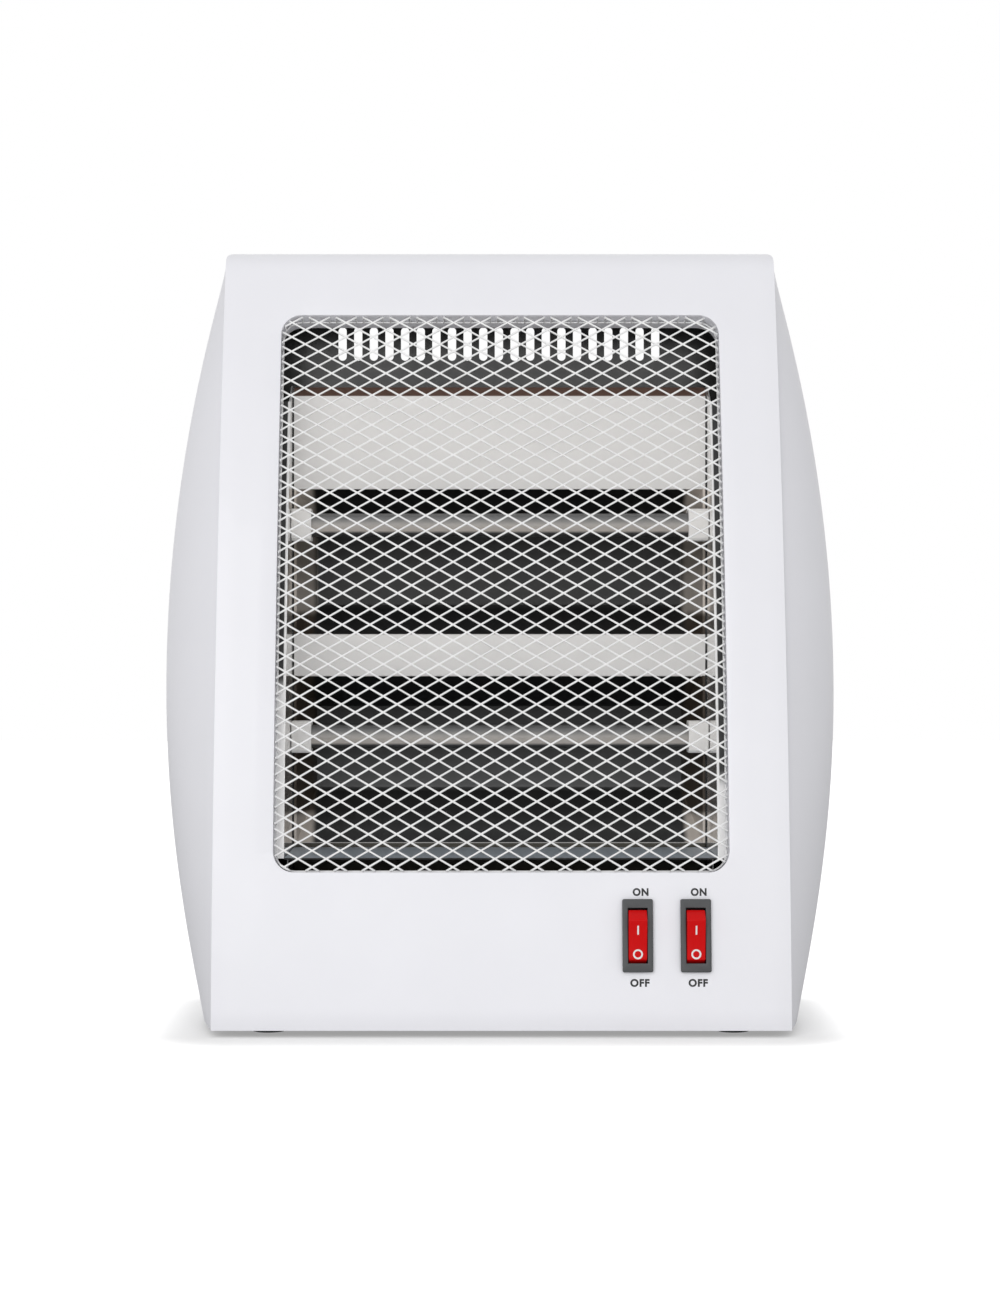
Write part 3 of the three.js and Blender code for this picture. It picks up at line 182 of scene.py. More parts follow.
class Recipe:
    """The nodes of one material or world."""

    def __init__(self, tree: bpy.types.NodeTree) -> None:
        """Starts an empty tree."""
        self.tree = tree
        tree.nodes.clear()

    def node(
        self,
        kind: str,
        settings: dict[str, Any] | None = None,
        inputs: dict[str | int, Any] | None = None,
        output: str | int = 0,
    ) -> Value:
        """Adds a node.

        Args:
            kind: the node's type.
            settings: its properties, set first.
            inputs: values or links of its sockets by name or number.
            output: the output to hand back.

        Returns:
            The chosen output.
        """
        plain = {k: v.socket if isinstance(v, Value) else v for k, v in (inputs or {}).items()}
        node = add_node(self.tree, kind, settings, plain)
        return Value(self, node.outputs[output] if len(node.outputs) else node.inputs[0])

    def place(self, stretch: Point = (1, 1, 1)) -> Value:
        """Object coordinates, stretched along each axis."""
        here = self.node("ShaderNodeTexCoord", output="Object")
        return self.node("ShaderNodeMapping", {}, {"Vector": here, "Scale": stretch})

    def height(self, axis: str) -> Value:
        """The object coordinate X, Y or Z in metres."""
        return self.node("ShaderNodeSeparateXYZ", {}, {0: self.place()}, axis)

    def noise(self, scale: float, detail: float = 3, stretch: Point = (1, 1, 1)) -> Value:
        """Noise between 0 and 1, with its waves in a metre, its finer layers and its stretch."""
        inputs = {"Vector": self.place(stretch), "Scale": scale, "Detail": detail}
        return self.node("ShaderNodeTexNoise", {}, inputs)

    def mix(self, factor: Value | float, first: Any, second: Any) -> Value:
        """A mix of two colours or links: at factor 0 the first, at 1 the second."""
        settings = {"data_type": "RGBA"}
        return self.node("ShaderNodeMix", settings, {0: factor, 6: tinted(first), 7: tinted(second)}, 2)

    def ramp(self, place: Value, stops: Sequence[tuple[float, Any]]) -> Value:
        """Colours along a value.

        Args:
            place: the value, from 0 to 1.
            stops: where each colour lies and the colour.

        Returns:
            The colour.
        """
        made = self.node("ShaderNodeValToRGB", {}, {0: place})
        elements = made.socket.node.color_ramp.elements
        for element, (at, colour) in zip(elements, stops):
            element.position, element.color = at, tinted(colour)
        for at, colour in stops[2:]:
            elements.new(at).color = tinted(colour)
        return made

    def bump(self, height: Value, depth: float) -> Value:
        """The normal of a pattern that is as high as the depth, in metres."""
        return self.node("ShaderNodeBump", {}, {"Distance": depth, "Height": height})


def tinted(colour: Any) -> Any:
    """A colour with its alpha, or a link as it is."""
    return (*colour, 1.0) if isinstance(colour, tuple) and len(colour) == 3 else colour


def shade(level: float, warmth: float = 0.0) -> Colour:
    """A grey from its level on a screen.

    Args:
        level: 0 for black to 255 for white.
        warmth: how many levels red rises and blue falls.

    Returns:
        The linear colour.
    """
    levels = (level + warmth, level, level - warmth)
    return tuple(
        v / 255 / 12.92 if v / 255 <= 0.04045 else ((v / 255 + 0.055) / 1.055) ** 2.4 for v in levels
    )


def cool(level: float) -> Colour:
    """A white with a little blue in it, from its level on a screen."""
    return (*shade(level)[:2], shade(level + 5)[2])


# --- Finishes --------------------------------------------------------------------------


@dataclass(frozen=True)
class Finish:
    """A surface finish and the slot of the record that it belongs to."""

    slot: str
    colour: Colour
    roughness: float
    metallic: float = 0.0
    mottle: float = 0.02
    mottle_scale: float = 30.0
    wander: float = 0.06
    grain: float = 0.00001
    grain_scale: float = 1800.0
    stretch: Point = (1.0, 1.0, 1.0)
    coat: float = 0.0
    transmission: float = 0.0
    specular: float = 0.5
    label: str = ""

    def tint(self, recipe: Recipe) -> Value:
        """The colour over the surface.

        Args:
            recipe: the material's nodes.

        Returns:
            The colour.
        """
        pattern = recipe.noise(self.mottle_scale, 4, self.stretch)
        darker = tuple(channel * (1 - self.mottle) for channel in self.colour)
        lighter = tuple(min(channel * (1 + self.mottle), 1) for channel in self.colour)
        return recipe.mix(pattern, darker, lighter)

    def sheen(self, recipe: Recipe) -> Value:
        """The roughness over the surface."""
        return self.roughness + (recipe.noise(self.mottle_scale * 3, 3, self.stretch) - 0.5) * self.wander

    def relief(self, recipe: Recipe) -> Value:
        """The normal with the fine relief of the surface."""
        return recipe.bump(recipe.noise(self.grain_scale, 2, self.stretch), self.grain)

    def material(self) -> bpy.types.Material:
        """The material of this finish, made once."""
        name = f"finish_{self.label or self.slot}"
        known = bpy.data.materials.get(name)
        if known:
            return known
        made = bpy.data.materials.new(name)
        made.use_nodes = True
        recipe = Recipe(made.node_tree)
        surface = recipe.node("ShaderNodeBsdfPrincipled", {}, {
            "Base Color": self.tint(recipe),
            "Metallic": self.metallic,
            "Roughness": self.sheen(recipe),
            "Specular IOR Level": self.specular,
            "Coat Weight": self.coat,
            "Transmission Weight": self.transmission,
            "Normal": self.relief(recipe),
        })
        recipe.node("ShaderNodeOutputMaterial", {}, {"Surface": surface})
        return made


@dataclass(frozen=True)
class TroughSheet(Finish):
    """Bright sheet with painted light: its troughs carry painted shade with a painted highlight along one fold,
    its ends carry painted reflections, its lower edge carries painted shade, and its top lip is brown.
    """

    front: float = 0.0218
    back: float = 0.0221
    span: float = 0.3
    crisp: float = 0.0002
    lip: Pair = (0.2899, 0.2904)
    lip_brown: Colour = (0.21, 0.125, 0.095)
    # painted shade below the reflector's lower edge, and the height where it starts
    low_edge: Pair = (0.0802, 0.0798)
    soot: Colour = (0.05, 0.045, 0.035)
    end: Pair = (0.0862, 0.0895)
    strip: Pair = (0.0950, 0.0953)
    seam: Pair = (0.0966, 0.0968)
    troughs: tuple[Pair, ...] = ((0.0799, 0.1585), (0.178, 0.2464))
    # painted shade down the trough walls by height, with a painted highlight at 105 mm along a fold
    walls: tuple[Pair, ...] = (
        (0, 50), (80, 46), (86, 60), (95, 34), (104, 26), (105, 96), (106.5, 84), (124, 62), (142, 30), (158, 24),
        (178, 44), (190, 30), (193, 58), (210, 50), (224, 26), (233, 40), (246, 26),
    )
    # painted reflections on the trough ends, by height
    ends: tuple[Pair, ...] = (
        (0, 200), (92, 200), (95, 64), (120, 62), (158, 56), (178, 60), (187, 70), (190, 200), (200, 190),
        (212, 140), (232, 150), (240, 200), (246, 206),
    )

    def levels(self, recipe: Recipe, stops: Sequence[Pair], warmth: float) -> Value:
        """The colour by the height, from heights in millimetres and levels on a screen."""
        colours = [(z * MM / self.span, shade(level, warmth)) for z, level in stops]
        return recipe.ramp(recipe.height("Z") / self.span, colours)

    def tint(self, recipe: Recipe) -> Value:
        """The colour, with painted shade and a painted highlight behind the flat of the sheet, painted
        reflections at the trough ends and painted shade along the lower edge.
        """
        across, height = abs(recipe.height("X")), recipe.height("Z")
        low, high = (
            height.over(foot, foot + self.crisp) - height.over(top, top + self.crisp)
            for foot, top in self.troughs
        )
        # strips beside the trough ends take the same painted reflections
        beside = across.over(*self.strip) * (low + high)
        ends = self.levels(recipe, self.ends, 9)
        # painted shade in the troughs, turning to painted reflections towards their ends
        hollow = recipe.mix(across.over(*self.end), self.levels(recipe, self.walls, 0), ends)
        inside = recipe.mix(recipe.height("Y").over(self.front, self.back), super().tint(recipe), hollow)
        sided = recipe.mix(beside, inside, ends)
        seamed = recipe.mix(across.over(*self.seam), sided, shade(90))
        lipped = recipe.mix(height.over(*self.lip), seamed, self.lip_brown)
        # painted shade below the lower edge
        return recipe.mix(height.over(*self.low_edge), lipped, self.soot)


@dataclass(frozen=True)
class PlateSheet(Finish):
    """Mirror-bright sheet whose front fold is dull and carries painted shade except near its foot."""

    edge: Pair = (0.0973, 0.0975)
    fold: Pair = (0.0982, 0.0986)
    # heights where the painted shade sets in, and how much lower it sets in on the right
    fade: Pair = (0.15, 0.159)
    drop: float = 0.042
    dull: float = 0.45
    streak: Point = (1, 1, 0.2)

    def tint(self, recipe: Recipe) -> Value:
        """The colour, with streaky painted shade on the upper part of the fold, reaching lower on the right."""
        across, height = recipe.height("X"), recipe.height("Z")
        up = (height + across.over(-0.01, 0.01) * self.drop).over(*self.fade)
        # streaky painted shade
        dark = recipe.mix(recipe.noise(60, 3, self.streak), shade(40), shade(86))
        return recipe.mix(abs(across).over(*self.fold) * up, super().tint(recipe), dark)

    def sheen(self, recipe: Recipe) -> Value:
        """The roughness, greater on the fold."""
        return super().sheen(recipe) + abs(recipe.height("X")).over(*self.edge) * self.dull


@dataclass(frozen=True)
class EdgedSheet(Finish):
    """Bright sheet with painted shade along its front edge."""

    edge: Pair = (-0.0474, -0.0478)

    def tint(self, recipe: Recipe) -> Value:
        """The colour, with painted shade along the front edge."""
        return recipe.mix(recipe.height("Y").over(*self.edge), super().tint(recipe), shade(48))


@dataclass(frozen=True)
class QuartzTube(Finish):
    """Milky quartz with painted light: painted shade along the foot of each tube, a painted highlight just above
    it, and greyer painted shade towards the top.
    """

    low: float = 0.1303
    rise: float = 0.0987
    between: Pair = (0.179, 0.18)
    reach: float = 0.0068
    # painted shade and highlight up each tube: place, level on a screen and warmth
    levels: tuple[tuple[float, float, float], ...] = (
        (0, 58, 0), (0.12, 70, 0), (0.2, 196, 8), (0.42, 188, 6), (0.62, 158, 3), (0.8, 128, 0), (1, 104, 0),
    )

    def tint(self, recipe: Recipe) -> Value:
        """The painted light and shade by the height within either tube."""
        height = recipe.height("Z")
        local = height - height.over(*self.between) * self.rise
        return recipe.ramp(local.over(self.low - self.reach, self.low + self.reach), [
            (at, shade(level, warmth)) for at, level, warmth in self.levels
        ])


@dataclass(frozen=True)
class BraidedSleeve(Finish):
    """Glass-fibre sleeve with a fine braid."""

    def relief(self, recipe: Recipe) -> Value:
        """Two crossed sets of ridges."""
        settings = {"wave_type": "BANDS", "bands_direction": "DIAGONAL"}
        ridges = [
            recipe.node("ShaderNodeTexWave", settings, {"Vector": recipe.place(way), "Scale": 400.0}, 1)
            for way in ((1, 1, 1), (-1, 1, 1))
        ]
        return recipe.bump(ridges[0].highest(ridges[1]), self.grain)


class Surface(Enum):
    """Every finish on the heater."""

    COVER = Finish("cover_white", cool(242), 0.34, grain=0.000006, coat=0.1)
    SIDES = Finish("side_white", cool(237), 0.42, grain=0.000012)
    REAR = Finish("rear_white", cool(237), 0.45, grain=0.00002, grain_scale=900)
    GUARD = Finish("guard_white", shade(249), 0.42, grain=0.00001)
    SHEET = TroughSheet("bright_aluminium", shade(226, 2), 0.55, 0.4, stretch=(0.04, 1, 1), grain=0.000004)
    PLATE = PlateSheet("bright_aluminium", shade(240, 1), 0.1, 0.7, grain=0.000002, label="bright_plate")
    DECK = EdgedSheet("bright_aluminium", shade(226, -10), 0.4, 0.5, stretch=(0.2, 1, 1), label="bright_deck")
    # bare steel, its tone kept dark as painted shade of the unlit inside of the case
    STEEL = Finish("chassis_steel", shade(70), 0.34, 0.7, mottle=0.35, mottle_scale=90, wander=0.1)
    # bare steel on the rear panel's inside face, darkened as painted shade of the unlit inside
    INNER = Finish("chassis_steel", shade(64), 0.25, 0.5, mottle=0.35, mottle_scale=60, label="inner_steel")
    QUARTZ = QuartzTube("quartz", shade(176), 0.3, coat=0.15, transmission=0.1)
    WIRE = Finish("heating_wire", shade(96, 4), 0.5, 0.9, mottle=0.15, mottle_scale=400)
    CERAMIC = Finish("ceramic", shade(250, 3), 0.75, mottle=0.03, mottle_scale=260, grain=0.00004)
    SWITCH = Finish("switch_grey", shade(64, -2), 0.42, mottle=0.05, grain=0.00002)
    ROCKER = Finish("rocker_red", (0.66, 0.004, 0.005), 0.3, mottle=0.03, grain=0.000003, specular=0.12)
    RUBBER = Finish("black_rubber", shade(38), 0.8, mottle=0.2, mottle_scale=200, grain=0.00004)
    BLACK = Finish("black_plastic", shade(40), 0.45, mottle=0.1, grain=0.00002)
    PALE = Finish("pale_plastic", shade(225, 3), 0.5, mottle=0.04, grain=0.00002)
    SLEEVE = BraidedSleeve("lead_sleeve", shade(228, 4), 0.7, mottle=0.08, mottle_scale=500, grain=0.0001)
    SCREW = Finish("screw_steel", shade(190), 0.3, 1.0, mottle=0.06, mottle_scale=300, grain=0.00001)

    @property
    def material(self) -> bpy.types.Material:
        """The material of this finish."""
        return self.value.material()


def print_ink(name: str, colour: Colour, roughness: float) -> bpy.types.Material:
    """The material of a flat ink with a little unevenness in it."""
    return Finish(name, colour, roughness, mottle=0.08, mottle_scale=700).material()


# --- Meshes ----------------------------------------------------------------------------


def linked(name: str, data: bpy.types.ID) -> bpy.types.Object:
    """A new object of a mesh, curve, lamp or camera, in the scene."""
    made = bpy.data.objects.new(name, data)
    bpy.context.scene.collection.objects.link(made)
    return made


def circle(sides: int) -> list[float]:
    """The angles of the corners of a regular polygon."""
    return [2 * math.pi * i / sides for i in range(sides)]


def add_mesh(
    name: str,
    points: Iterable[Sequence[float]],
    faces: Iterable[Sequence[int]] = (),
    edges: Iterable[Sequence[int]] = (),
) -> bpy.types.Object:
    """A new object from points in millimetres.

    Args:
        name: the object's name.
        points: the corners.
        faces: numbers of corners, in order round each face.
        edges: numbers of corners of the edges that no face has.

    Returns:
        The object, linked to the scene.
    """
    mesh = bpy.data.meshes.new(name)
    corners = [[c * MM for c in point] for point in points]
    mesh.from_pydata(corners, list(edges), [list(face) for face in faces])
    return linked(name, mesh)


def tidy(made: bpy.types.Object, merge: float = MERGE) -> bpy.types.Object:
    """Merges doubles and turns the faces outwards.

    Args:
        made: the object.
        merge: distance in millimetres under which corners are one.

    Returns:
        The same object.
    """
    work = bmesh.new()
    work.from_mesh(made.data)
    bmesh.ops.remove_doubles(work, verts=work.verts, dist=merge * MM)
    bmesh.ops.recalc_face_normals(work, faces=work.faces)
    work.to_mesh(made.data)
    work.free()
    return made


def settle(made: bpy.types.Object) -> bpy.types.Object:
    """Turns an object's modifiers into plain mesh.

    Args:
        made: the object.

    Returns:
        The same object without modifiers.
    """
    graph = bpy.context.evaluated_depsgraph_get()
    mesh = bpy.data.meshes.new_from_object(made.evaluated_get(graph))
    made.modifiers.clear()
    made.data = mesh
    return made


def soften(made: bpy.types.Object, width: float, steps: int = 2, angle: float = 35) -> bpy.types.Object:
    """Rounds the sharp edges of a piece and shades it smooth.

    Args:
        made: the object.
        width: how far a rounding reaches from its edge, in millimetres.
        steps: how many strips each rounding has.
        angle: edges sharper than this are rounded, in degrees.

    Returns:
        The same object as plain mesh.
    """
    bevel = made.modifiers.new("rounding", "BEVEL")
    bevel.width = width * MM
    bevel.segments = steps
    bevel.limit_method = "ANGLE"
    bevel.angle_limit = math.radians(angle)
    bevel.use_clamp_overlap = True
    settle(made)
    return smooth(made, angle)


def smooth(made: bpy.types.Object, angle: float = 35) -> bpy.types.Object:
    """Shades a piece smooth up to an angle.

    Args:
        made: the object.
        angle: edges sharper than this stay crisp, in degrees.

    Returns:
        The same object.
    """
    made.data.shade_smooth()
    made.data.set_sharp_from_angle(angle=math.radians(angle))
    return made


def thicken(made: bpy.types.Object, wall: float) -> bpy.types.Object:
    """Gives a sheet its wall behind its faces.

    Args:
        made: the object.
        wall: the thickness in millimetres.

    Returns:
        The same object as plain mesh.
    """
    solid = made.modifiers.new("wall", "SOLIDIFY")
    solid.thickness = wall * MM
    solid.offset = -1
    solid.use_even_offset = True
    return settle(made)


def joined(name: str, parts: Sequence[bpy.types.Object]) -> bpy.types.Object:
    """One object from several.

    Args:
        name: the new object's name.
        parts: the objects, which are used up.

    Returns:
        The new object.
    """
    work = bmesh.new()
    for part in parts:
        work.from_mesh(part.data)
    mesh = bpy.data.meshes.new(name)
    work.to_mesh(mesh)
    work.free()
    for part in parts:
        bpy.data.objects.remove(part)
    return linked(name, mesh)


def skin(name: str, rings: Sequence[Sequence[Sequence[float]]], closed: bool = False) -> bpy.types.Object:
    """A closed body through equal rings of points.

    Args:
        name: the object's name.
        rings: the rings, in order along the body.
        closed: whether the last ring meets the first.

    Returns:
        The object.
    """
    sides = len(rings[0])
    spans = len(rings) if closed else len(rings) - 1
    faces = []
    for i in range(spans):
        here, there = i * sides, (i + 1) % len(rings) * sides
        for j in range(sides):
            k = (j + 1) % sides
            faces.append((here + j, here + k, there + k, there + j))
    if not closed:
        faces.append(range(sides))
        faces.append(range((len(rings) - 1) * sides, len(rings) * sides))
    return tidy(add_mesh(name, [point for ring in rings for point in ring], faces))


def turned(
    name: str,
    profile: Sequence[Pair],
    place: Callable[[float, float, float], Point],
    sides: int = 48,
    closed: bool = False,
) -> bpy.types.Object:
    """A piece turned on a lathe.

    Args:
        name: the object's name.
        profile: radius and station of each ring along the axis.
        place: turns two coordinates across the axis and the station into a point.
        sides: how many sides the piece has.
        closed: whether the profile is a loop, as on a tube.

    Returns:
        The object.
    """
    rings = [
        [place(radius * math.cos(a), radius * math.sin(a), station) for a in circle(sides)]
        for radius, station in profile
    ]
    return skin(name, rings, closed)


def finished(
    made: bpy.types.Object,
    surface: Surface,
    *nodes: str,
    body: str = CASE,
) -> bpy.types.Object:
    """Dresses a piece and hands it to its body.

    Args:
        made: the object.
        surface: its finish.
        nodes: the CAD nodes that it stands for.
        body: the body that it moves with.

    Returns:
        The same object.
    """
    if not made.data.materials:
        made.data.materials.append(surface.material)
    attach(made, body)
    if nodes:
        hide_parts(*nodes)
    log.info("%s: %d faces", made.name, len(made.data.polygons))
    return made


def copied(node: str, name: str) -> bpy.types.Object:
    """A merged copy of a CAD node whose flat faces are whole.

    Args:
        node: the node.
        name: the copy's name.

    Returns:
        The copy.
    """
    made = linked(name, NODES[node].data.copy())
    made.data.materials.clear()
    work = bmesh.new()
    work.from_mesh(made.data)
    bmesh.ops.remove_doubles(work, verts=work.verts, dist=MERGE * MM)
    limit = math.radians(1)
    bmesh.ops.dissolve_limit(work, angle_limit=limit, verts=work.verts, edges=work.edges)
    work.to_mesh(made.data)
    work.free()
    return made


# --- Geometry Nodes --------------------------------------------------------------------


class Builder:
    """One Geometry Nodes tree with named inputs."""

    def __init__(self, name: str, base: bool = True) -> None:
        """Starts the tree.

        Args:
            name: the tree's name.
            base: whether it takes in the object's own mesh.
        """
        self.tree = bpy.data.node_groups.new(name, "GeometryNodeTree")
        self.ids: dict[str, str] = {}
        self.entry = self.tree.nodes.new("NodeGroupInput")
        self.base = self.input("Geometry", "Geometry") if base else None

    def input(self, name: str, kind: str, default: Any = None) -> bpy.types.NodeSocket:
        """Adds a named input.

        Args:
            name: the input's name.
            kind: its type, such as Float, Int, Object or Material.
            default: its usual value.

        Returns:
            The socket that carries it.
        """
        item = self.tree.interface.new_socket(name, in_out="INPUT", socket_type=f"NodeSocket{kind}")
        if default is not None:
            item.default_value = default
        self.ids[name] = item.identifier
        return self.entry.outputs[name]

    def node(
        self,
        kind: str,
        settings: dict[str, Any] | None = None,
        inputs: dict[str | int, Any] | None = None,
        output: str | int = 0,
    ) -> bpy.types.NodeSocket:
        """Adds a node.

        Args:
            kind: the node's type without its prefix, or in full.
            settings: its properties, set first.
            inputs: values or links of its sockets.
            output: the output to hand back.

        Returns:
            The chosen output.
        """
        full = kind if "Node" in kind else f"GeometryNode{kind}"
        return add_node(self.tree, full, settings, inputs).outputs[output]

    def finish(self, geometry: bpy.types.NodeSocket) -> None:
        """Ends the tree in real, dressed geometry.

        Args:
            geometry: what the tree has made.
        """
        material = self.input("Material", "Material")
        real = self.node("RealizeInstances", {}, {0: geometry})
        dressed = self.node("SetMaterial", {}, {0: real, "Material": material})
        self.tree.interface.new_socket("Geometry", in_out="OUTPUT", socket_type="NodeSocketGeometry")
        self.tree.links.new(dressed, self.tree.nodes.new("NodeGroupOutput").inputs[0])

    def make(self, made: bpy.types.Object, surface: Surface, **values: Any) -> bpy.types.Object:
        """Runs the tree on an object and keeps the result as plain mesh.

        Args:
            made: the object.
            surface: the finish of the result.
            values: the tree's inputs, with _ for a space.

        Returns:
            The same object.
        """
        modifier = made.modifiers.new(self.tree.name, "NODES")
        modifier.node_group = self.tree
        modifier[self.ids["Material"]] = surface.material
        for name, value in values.items():
            modifier[self.ids[name.replace("_", " ")]] = value
        settle(made)
        made.data.materials.clear()
        made.data.materials.append(surface.material)
        return made


def wire_tree() -> Builder:
    """A tree that sweeps a round wire along the edges of a mesh."""
    tree = Builder("wire_along_edges")
    radius = tree.input("Radius", "Float", 0.0005)
    sides = tree.input("Sides", "Int", 6)
    path = tree.node("MeshToCurve", {}, {0: tree.base})
    section = tree.node("CurvePrimitiveCircle", {}, {"Resolution": sides, "Radius": radius})
    tree.finish(tree.node("CurveToMesh", {}, {0: path, 1: section, "Fill Caps": True}))
    return tree


def coil_tree() -> Builder:
    """A tree that winds an even coil along Z from the origin."""
    tree = Builder("wound_coil", base=False)
    turns = tree.input("Turns", "Float", 60)
    radius = tree.input("Coil radius", "Float", 0.003)
    length = tree.input("Length", "Float", 0.1)
    wire = tree.input("Wire radius", "Float", 0.0003)
    spiral = tree.node("CurveSpiral", {}, {
        "Resolution": 10, "Rotations": turns, "Start Radius": radius, "End Radius": radius, "Height": length,
    })
    section = tree.node("CurvePrimitiveCircle", {}, {"Resolution": 6, "Radius": wire})
    tree.finish(tree.node("CurveToMesh", {}, {0: spiral, 1: section, "Fill Caps": True}))
    return tree


def screw_tree() -> Builder:
    """A tree that sets a screw on every point of a mesh, its head along the point's normal."""
    tree = Builder("screws_on_points")
    screw = tree.input("Screw", "Object")
    shape = tree.node("ObjectInfo", {}, {"Object": screw}, "Geometry")
    aim = tree.node("InputNamedAttribute", {"data_type": "FLOAT_VECTOR"}, {"Name": "aim"})
    turn = tree.node("FunctionNodeAlignRotationToVector", {"axis": "Z"}, {"Vector": aim})
    inputs = {0: tree.base, "Instance": shape, "Rotation": turn}
    tree.finish(tree.node("InstanceOnPoints", {}, inputs))
    return tree


def slotted_panel_tree() -> Builder:
    """A tree that fills an outline with its holes, cuts a row of slots and adds the thickness."""
    tree = Builder("slotted_panel")
    count = tree.input("Slots", "Int", 21)
    pitch = tree.input("Pitch", "Float", 0.0076)
    width = tree.input("Slot width", "Float", 0.004)
    length = tree.input("Slot length", "Float", 0.016)
    height = tree.input("Slot height", "Float", 0.3)
    thickness = tree.input("Thickness", "Float", 0.001)

    def sums(operation: str, first: Any, second: Any) -> bpy.types.NodeSocket:
        """One Math node on two values."""
        return tree.node("ShaderNodeMath", {"operation": operation}, {0: first, 1: second})

    corner = sums("MULTIPLY", width, 0.499)
    box = tree.node("CurvePrimitiveQuadrilateral", {}, {"Width": width, "Height": length})
    slot = tree.node("FilletCurve", {"mode": "POLY"}, {
        "Curve": box, "Count": 8, "Radius": corner, "Limit Radius": True,
    })
    reach = sums("MULTIPLY", pitch, sums("SUBTRACT", count, 1))
    start = tree.node("ShaderNodeCombineXYZ", {}, {"X": sums("MULTIPLY", reach, -0.5), "Y": height})
    step = tree.node("ShaderNodeCombineXYZ", {}, {"X": pitch})
    row = tree.node("MeshLine", {}, {"Count": count, "Start Location": start, "Offset": step})
    slots = tree.node("InstanceOnPoints", {}, {0: row, "Instance": slot})
    cut = tree.node("RealizeInstances", {}, {0: slots})
    rims = tree.node("MeshToCurve", {}, {0: tree.base})
    curves = tree.node("JoinGeometry", {}, {0: [rims, cut]})
    sheet = tree.node("FillCurve", {"mode": "NGONS"}, {"Curve": curves})
    front = tree.node("ExtrudeMesh", {}, {"Mesh": sheet, "Offset Scale": thickness, "Individual": False})
    back = tree.node("FlipFaces", {}, {0: sheet})
    whole = tree.node("JoinGeometry", {}, {0: [front, back]})
    tree.finish(tree.node("MergeByDistance", {}, {0: whole, "Distance": 0.000001}))
    return tree


# --- Casing ----------------------------------------------------------------------------


@dataclass(frozen=True)
class Face:
    """The leaning, slightly bent face, its roll into the top, and where points on it lie."""

    width: float = 256
    foot: float = 3
    length: float = 354
    lean_base: float = math.radians(4.5)
    lean_top: float = math.radians(20)
    roll: float = 14
    corner: float = 3.5
    front: float = -63.5708
    rear: float = 62.4

    @property
    def radius(self) -> float:
        """Radius of the face."""
        return self.length / (self.lean_top - self.lean_base)

    @property
    def centre(self) -> Pair:
        """Y and Z of the centre of the face's arc."""
        y = self.front + self.radius * math.cos(self.lean_base)
        return y, self.foot - self.radius * math.sin(self.lean_base)

    @property
    def roll_centre(self) -> Pair:
        """Y and Z of the centre of the roll."""
        y, z = self.centre
        reach = self.radius - self.roll
        return y - reach * math.cos(self.lean_top), z + reach * math.sin(self.lean_top)

    @property
    def roll_length(self) -> float:
        """Length of the roll."""
        return self.roll * (math.pi / 2 - self.lean_top)

    @property
    def top(self) -> float:
        """Height of the top."""
        return self.roll_centre[1] + self.roll

    @property
    def end(self) -> float:
        """Length from the foot of the face to the rear of the top."""
        return self.length + self.roll_length + self.rear - self.roll_centre[0]

    def lean(self, s: float) -> float:
        """The lean of the face at a length up it."""
        return self.lean_base + s / self.radius

    def at(self, x: float, s: float, n: float) -> Point:
        """A point of the face.

        Args:
            x: place across.
            s: length up the face.
            n: depth behind it.

        Returns:
            The point.
        """
        if s <= self.length:
            y, z = self.centre
            radius = self.radius - n
            return x, y - radius * math.cos(self.lean(s)), z + radius * math.sin(self.lean(s))
        beyond = s - self.length
        turn = min(self.lean_top + beyond / self.roll, math.pi / 2)
        flat = max(beyond - self.roll_length, 0)
        y, z = self.roll_centre
        radius = self.roll - n
        return x, y - radius * math.cos(turn) + flat, z + radius * math.sin(turn)

    def y_at(self, z: float, n: float) -> float:
        """Y of the surface at a height and a depth behind the face."""
        start = self.centre[1] + (self.radius - n) * math.sin(self.lean_top)
        centre, radius = (self.roll_centre, self.roll) if z > start else (self.centre, self.radius)
        return centre[0] - math.sqrt(max((radius - n) ** 2 - (z - centre[1]) ** 2, 0))

    def inset(self, z: float) -> float:
        """How far the upper corners are drawn in at a height."""
        above = max(z - (self.top - self.corner), 0)
        return self.corner - math.sqrt(max(self.corner**2 - above**2, 0))


FACE = Face()


@dataclass(frozen=True)
class Window:
    """The window in the face, in lengths up it."""

    half: float = 101.25
    bottom: float = 69.6
    top: float = 330.9
    corner: float = 9.5
    collar: float = 14


WINDOW = Window()


@dataclass(frozen=True)
class SwitchPlace:
    """Where the two switches sit and the size of their cut-outs."""

    across: tuple[float, float] = (60.2, 85.9)
    up: float = 41.7
    half_width: float = 6.3
    half_length: float = 15.2
    pivot: float = 5

    @property
    def sides(self) -> list[float]:
        """The edges of the cut-outs across the face."""
        return [x + way * self.half_width for x in self.across for way in (-1, 1)]

    def middle(self, side: Side) -> float:
        """The middle of a switch across the face."""
        return self.across[0 if side is Side.LEFT else 1]

    def frame(self, side: Side) -> Matrix:
        """The frame of a switch, its origin on the rocker's pivot and Y into the face.

        Args:
            side: which switch.

        Returns:
            A matrix in millimetres.
        """
        place = FACE.at(self.middle(side), self.up, self.pivot)
        return Matrix.Translation(place) @ Matrix.Rotation(-FACE.lean(self.up), 4, "X")


SWITCHES = SwitchPlace()


def lines(stops: Sequence[float], step: float) -> list[float]:
    """Positions that pass through every stop with no gap wider than a step.

    Args:
        stops: positions that have to be there.
        step: the widest gap.

    Returns:
        The positions in order.
    """
    stops = sorted(set(stops))
    result = [stops[0]]
    for before, after in zip(stops, stops[1:]):
        pieces = max(1, math.ceil((after - before) / step))
        result += [before + (after - before) * i / pieces for i in range(1, pieces + 1)]
    return result


